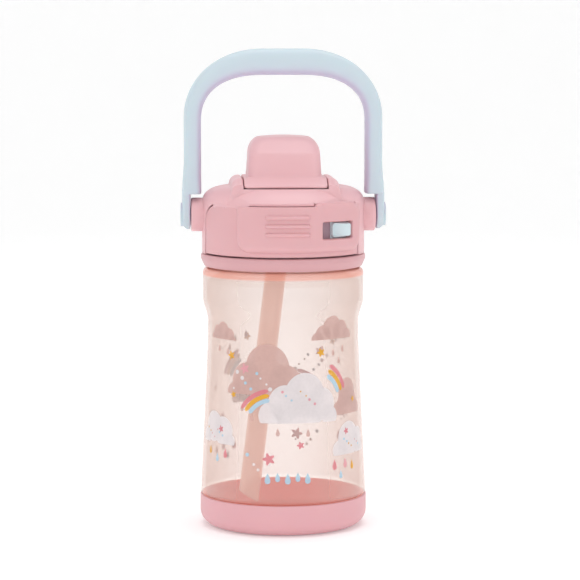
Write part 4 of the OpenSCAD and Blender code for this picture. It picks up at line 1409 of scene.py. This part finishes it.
@dataclass
class CarryHandle:
    """The swinging handle: one section carried from ear to ear, and the two pivot pins."""

    finish: PaintedShadeHandle
    half_width: float = 47.0
    arm: float = 8.2
    depth: float = 13.0
    top: float = 226.6
    bar: float = 12.5
    pivot: float = 148.3
    ear: tuple[float, float, float] = (43.9, 47.9, 7.0)
    arm_low: float = 158.1
    corners: tuple[tuple[float, float, float], ...] = ((30.0, 22.0, 2.4), (37.5, 33.0, 2.1))

    def half_path(self) -> tuple[Array, Array, Array, Array]:
        """Inner and outer points, half depth and squareness from the right ear to the middle.

        Returns:
            Inner (n, 2) and outer (n, 2) points of x and z, (n,) half depths and (n,) powers. The
            corners are superellipses centre + (a cos^(2/p) t, b sin^(2/p) t), and the ear's end is
            a half disc.
        """
        ear_in, ear_out, ear_r = self.ear
        inner_x, pz, low = self.half_width - self.arm, self.pivot, self.arm_low
        tip = np.radians(np.linspace(88, 0, 14))
        tip_z, tip_depth = pz - ear_r * np.sin(tip), ear_r * np.cos(tip)
        rise = np.linspace(pz + 1, low - 0.4, 8)
        draw = np.clip((np.sin(tip) - 0.55) / 0.45, 0, 1) ** 2
        ins = [np.column_stack([ear_in + 0.5 * draw, tip_z]), np.column_stack([0 * rise + ear_in, rise])]
        outs = [np.column_stack([ear_out - 2.3 * draw, tip_z]), np.column_stack([0 * rise + ear_out, rise])]
        depths = [tip_depth, np.interp(rise, [pz, low], [ear_r, self.depth / 2])]
        step = filleted([(ear_in, low - 0.3, 0), (ear_in, low, 0.25), (inner_x, low, 0.9),
                         (inner_x, low + 2, 0)], 6)
        ins.append(step)
        step_z = np.linspace(low - 0.3, low + 2, len(step))
        outs.append(np.column_stack([np.full(len(step), ear_out), step_z]))
        depths.append(np.full(len(step), self.depth / 2))
        climb = np.linspace(low + 3, 190.0, 16)
        drift = np.interp(climb, [low + 2, low + 14], [ear_out, self.half_width])
        ins.append(np.column_stack([0 * climb + inner_x, climb]))
        outs.append(np.column_stack([drift, climb + np.linspace(0, 1.6, 16)]))
        depths.append(0 * climb + self.depth / 2)
        turn = np.radians(np.linspace(0, 90, 48))[1:]
        under = self.top - self.bar
        cos, sin = np.maximum(np.cos(turn), 0), np.sin(turn)
        (in_a, in_b, in_power), (out_a, out_b, out_power) = self.corners
        ins.append(np.column_stack([inner_x - in_a + in_a * cos ** (2 / in_power),
                                    under - in_b + in_b * sin ** (2 / in_power)]))
        outs.append(np.column_stack([self.half_width - out_a + out_a * cos ** (2 / out_power),
                                     self.top - out_b + out_b * sin ** (2 / out_power)]))
        depths.append(0 * turn + self.depth / 2)
        share = np.linspace(1, 0, 8)[1:]
        ins.append(np.column_stack([(inner_x - in_a) * share, 0 * share + under]))
        outs.append(np.column_stack([(self.half_width - out_a) * share, 0 * share + self.top]))
        depths.append(0 * share + self.depth / 2)
        inner, outer, depth = np.concatenate(ins), np.concatenate(outs), np.concatenate(depths)
        power = np.interp(outer[:, 1], [low - 2, low + 8, 200, 222], [5.5, 3.4, 3.2, 2.7])
        return inner, outer, depth, power

    def build(self) -> list[bpy.types.Object]:
        """Builds the handle and its pins.

        Returns:
            The objects.
        """
        inner, outer, depth, power = self.half_path()
        flip = np.array([-1.0, 1.0])
        inner = np.concatenate([inner, (inner * flip)[-2::-1]])
        outer = np.concatenate([outer, (outer * flip)[-2::-1]])
        depth = np.concatenate([depth, depth[-2::-1]])[:, None]
        power = np.concatenate([power, power[-2::-1]])[:, None]
        turn = np.linspace(0, 2 * np.pi, 56, endpoint=False)
        across = np.sign(np.cos(turn)) * np.abs(np.cos(turn)) ** (2 / power)
        deep = np.sign(np.sin(turn)) * np.abs(np.sin(turn)) ** (2 / power)
        mid, half = 0.5 * (inner + outer), 0.5 * (outer - inner)
        points = np.stack([mid[:, :1] + half[:, :1] * across, depth * deep, mid[:, 1:] + half[:, 1:] * across],
                          axis=2)
        ends = points[[0, -1]].mean(axis=1, keepdims=True) + 0 * points[[0, -1]]
        bow = Surface.grid(np.concatenate([ends[:1], points, ends[1:]]), close=True)
        finish = self.finish.make()
        handle = bow.piece("handle_bow", "handle", "handle_blue", finish, ["handle"])
        disc = np.stack([np.cos(turn), np.sin(turn)], axis=1)
        head = Surface.prism(disc * 5.6 + [0, self.pivot], 47.2, 48.7, 1.4)
        shaft = Surface.prism(disc * 2.95 + [0, self.pivot], 35.2, 47.8, 0.3)
        snap = Surface.prism(disc * 3.7 + [0, self.pivot], 35.2, 36.1, 0.2)
        pins = head.joined(shaft, snap, head.mirrored_x(), shaft.mirrored_x(), snap.mirrored_x())
        return [handle, pins.piece("pivot_pins", "handle", "handle_blue", finish, ["handle_pins"])]


@dataclass
class DrinkingParts:
    """The leaning straw and the soft mouthpiece."""

    straw_finish: ClearResin
    soft_finish: SoftSilicone
    spout_y: float = -3.5
    pivot: float = 151.0
    lean: float = 6.9
    straw_r: float = 4.95
    straw_wall: float = 0.9
    straw_span: tuple[float, float] = (-140.8, -12.4)
    tip: float = 178.5

    def straw(self) -> Surface:
        """A tube with a slanted lower mouth.

        Returns:
            The tube, leaning about Y: (x cos a + z sin a, y, z cos a - x sin a).
        """
        r, low, high = self.straw_r, *self.straw_span
        profile = np.array([(r - 0.25, low), (r, low + 0.25), (r, high - 0.25), (r - 0.25, high),
                            (r - self.straw_wall, high), (r - self.straw_wall, low), (r - 0.25, low)])
        long = np.linspace(low + 0.3, high - 0.3, 40)
        profile = np.concatenate([profile[:2], np.column_stack([0 * long + r, long]), profile[2:]])
        tube = Surface.revolve(profile, 96)
        x, y, z = tube.points.T
        cut = np.clip(1 - (z - low) / 12.0, 0, 1)
        z = z + cut * 0.45 * (r - x)
        a = np.radians(self.lean)
        tube.points = np.column_stack([x * np.cos(a) + z * np.sin(a), y + self.spout_y,
                                       self.pivot + z * np.cos(a) - x * np.sin(a)])
        return tube

    def build(self) -> list[bpy.types.Object]:
        """Builds the straw and the mouthpiece.

        Returns:
            The objects.
        """
        straw = self.straw().piece("straw_tube", "lid", "straw_tint", self.straw_finish.make(), ["straw"])
        spout = Surface.revolve(filleted([
            (5.5, 145.7, 0), (11.4, 145.7, 0.4), (11.4, 147.1, 0.4), (7.8, 147.1, 0.8), (6.6, 149.7, 1.5),
            (6.6, self.tip, 2.4), (3.0, self.tip - 0.4, 1.0), (3.0, 149.3, 0.5), (5.5, 148.9, 0.3),
            (5.5, 145.7, 0)]), 128, (0, self.spout_y))
        return [straw, spout.piece("soft_spout", "lid", "silicone", self.soft_finish.make(), ["mouthpiece"])]


# ---------------------------------------------------------------- print


class Ink(Enum):
    """The print's inks: name, colour and how far each lies over the wall, in millimetres."""

    MAUVE = ("ink_mauve", "cda79f", 0.05)
    WHITE = ("ink_white", "e3dadb", 0.09)
    ROSE = ("ink_rose", "da8089", 0.13)
    YELLOW = ("ink_yellow", "e2a51e", 0.13)
    BLUE = ("ink_blue", "aecddf", 0.13)
    PINK = ("ink_pink", "e3a0a8", 0.13)


@dataclass
class BottlePrint:
    """A generic weather pattern: clouds, a rainbow, drops, stars and dots in six inks."""

    bottle: BottleBody
    parts: dict[Ink, list[Surface]] = field(default_factory=dict)

    def lay(self, ink: Ink, s: Array, z: Array) -> None:
        """Wraps a grid of flat places round the bottle.

        Args:
            ink: The ink that prints it.
            s: Distances round from the front, (rows, columns).
            z: Heights, (rows, columns). The place is ((R(z) + lift) sin(s / 37 mm), ...).
        """
        radius = self.bottle.radius(z) + ink.value[2]
        turn = s / PRINT_RADIUS
        points = np.stack([radius * np.sin(turn), -radius * np.cos(turn), z], axis=2)
        self.parts.setdefault(ink, []).append(Surface.grid(points))

    def blob(self, ink: Ink, s: float, z: float, outline: Array, floor: float = -1e3) -> None:
        """Fills an outline from its middle: middle + share * outline.

        Args:
            ink: The ink.
            s: Middle, round the bottle.
            z: Middle height.
            outline: (n, 2) offsets, closed.
            floor: Lowest height; what lies lower is pressed up to it.
        """
        share = np.linspace(0, 1, 9)[:, None]
        self.lay(ink, s + share * outline[:, 0], np.maximum(z + share * outline[:, 1], floor))

    def disc(self, ink: Ink, s: float, z: float, radius: float, tall: float = 1.0, floor: float = -1e3) -> None:
        """Prints an ellipse: radius (cos t, tall sin t)."""
        t = np.linspace(0, 2 * np.pi, 49)
        self.blob(ink, s, z, radius * np.column_stack([np.cos(t), tall * np.sin(t)]), floor)

    def drop(self, ink: Ink, s: float, z: float, height: float) -> None:
        """Prints a raindrop: (0.36 h sin t sin(t/2)^1.6, 0.5 h cos t)."""
        t = np.linspace(0, 2 * np.pi, 41)
        wide = 0.36 * np.sin(t) * np.abs(np.sin(t / 2)) ** 1.6
        self.blob(ink, s, z, height * np.column_stack([wide, 0.5 * np.cos(t)]))

    def star(self, ink: Ink, s: float, z: float, radius: float, turn: float = 0.0) -> None:
        """Prints a soft five-pointed star: the radius falls from 1 to 0.45 between its points."""
        t = np.linspace(0, 2 * np.pi, 61)
        wave = np.abs(((t * 5 / (2 * np.pi)) % 1.0) * 2 - 1)
        r = radius * (0.45 + 0.55 * wave ** 1.15)
        t = t + turn + np.pi / 5
        self.blob(ink, s, z, np.column_stack([r * np.sin(t), r * np.cos(t)]))

    def band(self, ink: Ink, s: float, z: float, radii: tuple[float, float], turn: tuple[float, float],
             tall: float = 1.0) -> None:
        """Prints a curved stripe between two radii: r (cos t, tall sin t).

        Args:
            ink: The ink.
            s: Middle of the arc, round the bottle.
            z: Its height.
            radii: Inner and outer radius.
            turn: First and last angle, in degrees.
            tall: Height over width of the arc.
        """
        t = np.radians(np.linspace(*turn, 33))
        share = np.linspace(0, 1, 5)[:, None]
        taper = np.clip(np.minimum(t - t[0], t[-1] - t) / 0.09, 0, 1) ** 0.5
        mid = 0.5 * sum(radii)
        r = mid + (share - 0.5) * (radii[1] - radii[0]) * (0.15 + 0.85 * taper)
        self.lay(ink, s + r * np.cos(t), z + tall * r * np.sin(t))

    def cloud(self, ink: Ink, s: float, z: float, width: float,
              puffs: Sequence[tuple[float, float, float]]) -> None:
        """Prints a flat-bottomed cloud.

        Args:
            ink: The ink.
            s: Middle of its base, round the bottle.
            z: Height of its base.
            width: Width of the base.
            puffs: (place, height, radius) of each round puff, as shares of the width.
        """
        for place, up, radius in puffs:
            self.disc(ink, s + place * width, z + up * width, radius * width, 1.08, z)

    def scatter(self, inks: Sequence[Ink], s: float, z: float, spread: tuple[float, float], count: int,
                size: float, first: int = 0) -> None:
        """Prints small dots at golden-ratio places in a rectangle.

        Args:
            inks: Inks, used in turn.
            s: Middle of the rectangle, round the bottle.
            z: Its middle height.
            spread: Its half width and half height.
            count: Number of dots.
            size: Radius of a dot.
            first: Number of the first place in the sequence.
        """
        for i in range(first, first + count):
            a, b = ((i * step) % 1 * 2 - 1 for step in DOT_STEPS)
            self.disc(inks[i % len(inks)], s + a * spread[0], z + b * spread[1], size * (0.7 + 0.3 * (i % 3)))

    def motif(self, s: float, whole: bool = True) -> None:
        """Prints a set of shapes round a place.

        Args:
            s: Distance round the bottle of the set's middle.
            whole: False keeps only the middle cloud and the small shapes.
        """
        tall = [(-0.36, 0.0, 0.13), (-0.24, 0.08, 0.17), (-0.04, 0.2, 0.21), (0.18, 0.12, 0.2),
                (0.36, 0.02, 0.14)]
        flat = [(-0.38, 0.02, 0.12), (-0.2, 0.14, 0.19), (0.04, 0.2, 0.22), (0.27, 0.1, 0.18),
                (0.4, 0.0, 0.1)]
        clouds = [
            (Ink.MAUVE, 24.5, 91.8, 26.0, tall),
            (Ink.MAUVE, -36.0, 91.2, 19.0, flat),
            (Ink.MAUVE, -12.0, 66.5, 36.0,
             [(-0.4, 0.02, 0.12), (-0.22, 0.18, 0.22), (0.06, 0.34, 0.3), (0.3, 0.16, 0.22)]),
            (Ink.MAUVE, 33.0, 56.0, 20.0,
             [(-0.3, 0.12, 0.2), (0.0, 0.5, 0.32), (0.02, 0.2, 0.4), (0.34, 0.1, 0.2)]),
            (Ink.WHITE, 34.5, 37.0, 24.0,
             [(-0.34, 0.1, 0.18), (-0.06, 0.3, 0.32), (0.26, 0.24, 0.24), (0.4, 0.06, 0.13)]),
            (Ink.WHITE, -38.0, 42.0, 24.0,
             [(-0.36, 0.1, 0.16), (-0.1, 0.32, 0.28), (0.2, 0.26, 0.26), (0.4, 0.08, 0.12)]),
            (Ink.WHITE, 5.5, 53.5, 36.0,
             [(-0.36, 0.1, 0.17), (-0.18, 0.26, 0.22), (0.08, 0.36, 0.27), (0.3, 0.24, 0.2),
              (0.0, 0.1, 0.3), (0.42, 0.08, 0.12)]),
        ]
        for ink, ds, z, width, puffs in clouds if whole else clouds[-1:]:
            self.cloud(ink, s + ds, z, width, puffs)
        for k, ink in enumerate((Ink.ROSE, Ink.YELLOW, Ink.BLUE)):
            self.band(ink, s - 6.5, 52.0, (16.6 - 2.3 * k, 18.7 - 2.3 * k), (98, 152), 0.95)
            self.band(ink, s + 15.0, 62.5, (15.2 - 2.2 * k, 17.2 - 2.2 * k), (18, 66), 1.15)
        drops = {
            Ink.MAUVE: [(17.5, 87.6, 3.8), (24.0, 85.8, 3.6), (30.5, 87.2, 3.8), (27.5, 81.8, 3.6),
                        (-38.0, 87.0, 3.4), (-31.5, 86.0, 3.4), (-4.5, 49.5, 3.8), (9.5, 49.0, 3.8),
                        (-22.0, 60.5, 3.6), (-17.0, 56.0, 3.6)],
            Ink.ROSE: [(22.8, 33.0, 5.0), (-31.0, 38.0, 4.6)],
            Ink.PINK: [(29.5, 33.2, 4.8)],
            Ink.YELLOW: [(34.5, 31.8, 4.4), (-42.5, 38.5, 4.0)],
            Ink.BLUE: [(26.4, 28.2, 4.0), (-36.5, 35.5, 4.2)],
        }
        stars = {
            Ink.ROSE: [(-8.5, 36.8, 3.1), (5.9, 43.2, 1.9), (-34.5, 49.0, 1.8), (31.0, 48.0, 1.8)],
            Ink.YELLOW: [(16.8, 86.0, 2.2), (-29.0, 84.2, 2.2), (-27.0, 66.0, 1.6), (37.5, 62.5, 1.6)],
            Ink.PINK: [(-21.0, 78.5, 2.6)],
        }
        for ink, places in drops.items():
            for ds, z, height in places:
                self.drop(ink, s + ds, z, height)
        for ink, places in stars.items():
            for ds, z, radius in places:
                self.star(ink, s + ds, z, radius, 0.3)
        self.scatter([Ink.WHITE, Ink.BLUE, Ink.WHITE], s - 17.0, 74.0, (10.0, 5.0), 9, 0.75)
        self.scatter([Ink.WHITE, Ink.WHITE, Ink.BLUE], s - 13.0, 36.0, (7.0, 4.5), 5, 0.7, 3)
        self.scatter([Ink.YELLOW, Ink.BLUE, Ink.PINK], s + 5.0, 66.0, (9.0, 4.0), 7, 0.5, 5)
        self.scatter([Ink.ROSE, Ink.YELLOW, Ink.BLUE], s + 35.0, 43.0, (7.0, 2.5), 7, 0.45, 2)
        self.scatter([Ink.ROSE, Ink.YELLOW, Ink.BLUE], s - 38.0, 47.0, (8.0, 2.5), 7, 0.45, 9)

    def build(self) -> list[bpy.types.Object]:
        """Prints two sets, front and back, and the row of drops low on the front.

        Returns:
            One object for each ink.
        """
        self.motif(0.0)
        self.motif(np.pi * PRINT_RADIUS, whole=False)
        for k in range(5):
            self.drop(Ink.BLUE, -9.0 + 4.5 * k, 27.8 + 0.7 * (k % 2), 5.2 - 0.8 * (k % 2))
        made = []
        for ink, surfaces in self.parts.items():
            name, colour, _ = ink.value
            whole = surfaces[0].joined(*surfaces[1:])
            made.append(whole.piece(name, "bottle", "clear_peach", PrintInk(name + "_film", colour).make()))
        return made


# ---------------------------------------------------------------- studio


@dataclass
class Studio:
    """Pale sweep, soft lights and the camera."""

    distance: float = 1184.0
    azimuth: float = -3.2
    height: float = 234.0
    aim: tuple[float, float] = (3.3, 112.0)
    lens: float = 155.0
    white: str = "fbfbfb"
    glow: float = 0.17

    def sweep(self) -> bpy.types.Object:
        """A round floor that curves up into a wall, turned round the object's axis.

        Returns:
            The object.
        """
        profile = filleted([(0, 0, 0), (2600, 0, 900), (2600, 2600, 0)], 24) * MM
        turn = np.linspace(0, 2 * np.pi, 97)
        points = np.stack([profile[:, :1] * np.cos(turn), profile[:, :1] * np.sin(turn),
                           profile[:, 1:] + 0 * turn - 0.0002], axis=2)
        sheet = Surface.grid(points)
        mesh = bpy.data.meshes.new("studio_sweep")
        mesh.from_pydata(sheet.points.tolist(), [], sheet.faces[0].tolist())
        mesh.shade_smooth()
        bench = NodeBench("studio_white")
        shader = bench.add("ShaderNodeBsdfPrincipled")
        tint = linear(self.white)
        cloud = bench.blend(bench.noise(2.0), tint, tuple(0.99 * t for t in tint))
        bench.link(cloud, shader.inputs["Base Color"])
        shader.inputs["Roughness"].default_value = 0.9
        shader.inputs["Specular IOR Level"].default_value = 0.1
        shader.inputs["Emission Color"].default_value = (1.0, 1.0, 1.0, 1.0)
        shader.inputs["Emission Strength"].default_value = self.glow
        bench.link(shader.outputs["BSDF"], bench.output.inputs["Surface"])
        mesh.materials.append(bench.material)
        floor = bpy.data.objects.new("studio_sweep", mesh)
        bpy.context.scene.collection.objects.link(floor)
        floor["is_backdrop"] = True
        return floor

    def light(self, name: str, place: tuple[float, float, float], size: float, power: float) -> None:
        """Adds a square soft light that looks at the lid.

        Args:
            name: Its name.
            place: Where it stands, in metres.
            size: Side of the square, in metres.
            power: Watts.
        """
        lamp = bpy.data.lights.new(name, "AREA")
        lamp.size, lamp.energy = size, power
        made = bpy.data.objects.new(name, lamp)
        made.location = place
        way = Vector((0, 0, 0.12)) - Vector(place)
        made.rotation_euler = way.to_track_quat("-Z", "Y").to_euler()
        bpy.context.scene.collection.objects.link(made)

    def build(self) -> None:
        """Builds the sweep, the lights, the sky and the camera."""
        scene = bpy.context.scene
        self.sweep()
        self.light("key_light", (-0.9, -1.3, 1.5), 1.2, 5.0)
        self.light("fill_light", (1.4, -1.1, 0.9), 1.4, 1.9)
        self.light("top_light", (0.1, 0.2, 1.9), 1.6, 18.0)
        world = bpy.data.worlds.new("soft_sky")
        world.use_nodes = True
        sky = world.node_tree.nodes["Background"]
        sky.inputs["Color"].default_value = (1.0, 1.0, 1.0, 1.0)
        sky.inputs["Strength"].default_value = 0.3
        scene.world = world
        a = np.radians(self.azimuth)
        back = np.array([np.sin(a), -np.cos(a)])
        side = np.array([np.cos(a), np.sin(a)])
        spot = np.append(back * self.distance, self.height) * MM
        target = np.append(side * self.aim[0], self.aim[1]) * MM
        lens = bpy.data.cameras.new("main_camera")
        lens.lens, lens.sensor_width = self.lens, 36.0
        camera = bpy.data.objects.new("main_camera", lens)
        camera.location = spot
        camera.rotation_euler = Vector(target - spot).to_track_quat("-Z", "Y").to_euler()
        scene.collection.objects.link(camera)
        scene.camera = camera
        scene.view_settings.view_transform = "Standard"
        scene.view_settings.look = "None"


def dress_node(name: str, material: bpy.types.Material) -> None:
    """Gives a CAD node that stays as it is its new material.

    Args:
        name: The CAD node.
        material: The material.
    """
    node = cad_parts[name]
    if not node.material_slots:
        node.data.materials.append(material)
    for slot in node.material_slots:
        slot.material = material


def corners() -> list[list[float]]:
    """Lowest and highest corner of what is shown, as plain lists."""
    return [[float(v) for v in corner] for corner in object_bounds()]


def main() -> None:
    """Builds every piece in order."""
    logging.basicConfig(level=logging.INFO, format="%(name)s: %(message)s")
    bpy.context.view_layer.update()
    pink = MouldedPlastic("lid_satin", "eabcc0", "e6b5ba", 0.4, glow=0.1)
    # Panel: the floor of its window recess, inside radius 37.7 mm, gets painted mauve shade (a58894).
    panel_pink = PaintedShadeRecessPlastic("panel_satin", "e2afb3", "dca8ac", "a58894", (0.0, 0.0), 37.7)
    collar_pink = MouldedPlastic("collar_satin", "d8a6aa", "d29fa4", 0.42, glow=0.1)
    soft = SoftSilicone("soft_silicone", "f0e9e4", "e6dcd6")
    # The bottle and the straw glow with painted light (glow) so that their insides look lit.
    resin = ClearResin("bottle_resin", "fefcfb", "f1e3db", "efe0db", haze=0.25, rim_haze=0.7, glow=0.08,
                       band_painted_reflection="e99f8e", floor=0.12)
    straw_resin = ClearResin("straw_resin", "faeee8", "f0dcd2", "e8c6b8", haze=0.45, rim_haze=0.7, glow=0.26)
    bottle = BottleBody(resin)
    bottle.build()
    # Cup: its inside gets a deeper salmon tint (e67b70) as painted shade and a painted glow, for how it looks
    # through the bottle's floor.
    BaseCup(PaintedShadeRecessPlastic("cup_satin", "e6b0b6", "e0a8ae", "e67b70", painted_inside_glow=0.45)).build()
    ThreadedCollar(collar_pink).build()
    LidShell(pink).build()
    SpoutCover(pink).build()
    PushButton(panel_pink).build()
    LockSlider(MouldedPlastic("slider_satin", "dbe9ee", "cfe0e6", 0.38)).build()
    # Handle: lavender (c8c4da) is painted shade on its inward faces.
    CarryHandle(PaintedShadeHandle("handle_satin", "c8d7df", "c8c4da")).build()
    DrinkingParts(straw_resin, soft).build()
    BottlePrint(bottle).build()
    rubber = SoftSilicone("seal_silicone", "ece6e2", "e0d8d3").make()
    wire = DrawnSteel("drawn_wire").make()
    for name in ("lid_gasket", "straw_adapter", "vent_valve", "cover_seal", "spout_seal"):
        dress_node(name, rubber)
    for name in ("hinge_pin", "cover_spring", "button_spring"):
        dress_node(name, wire)
    dress_node("mouthpiece_ring", pink.make())
    Studio().build()


if __name__ == "__main__":
    main()
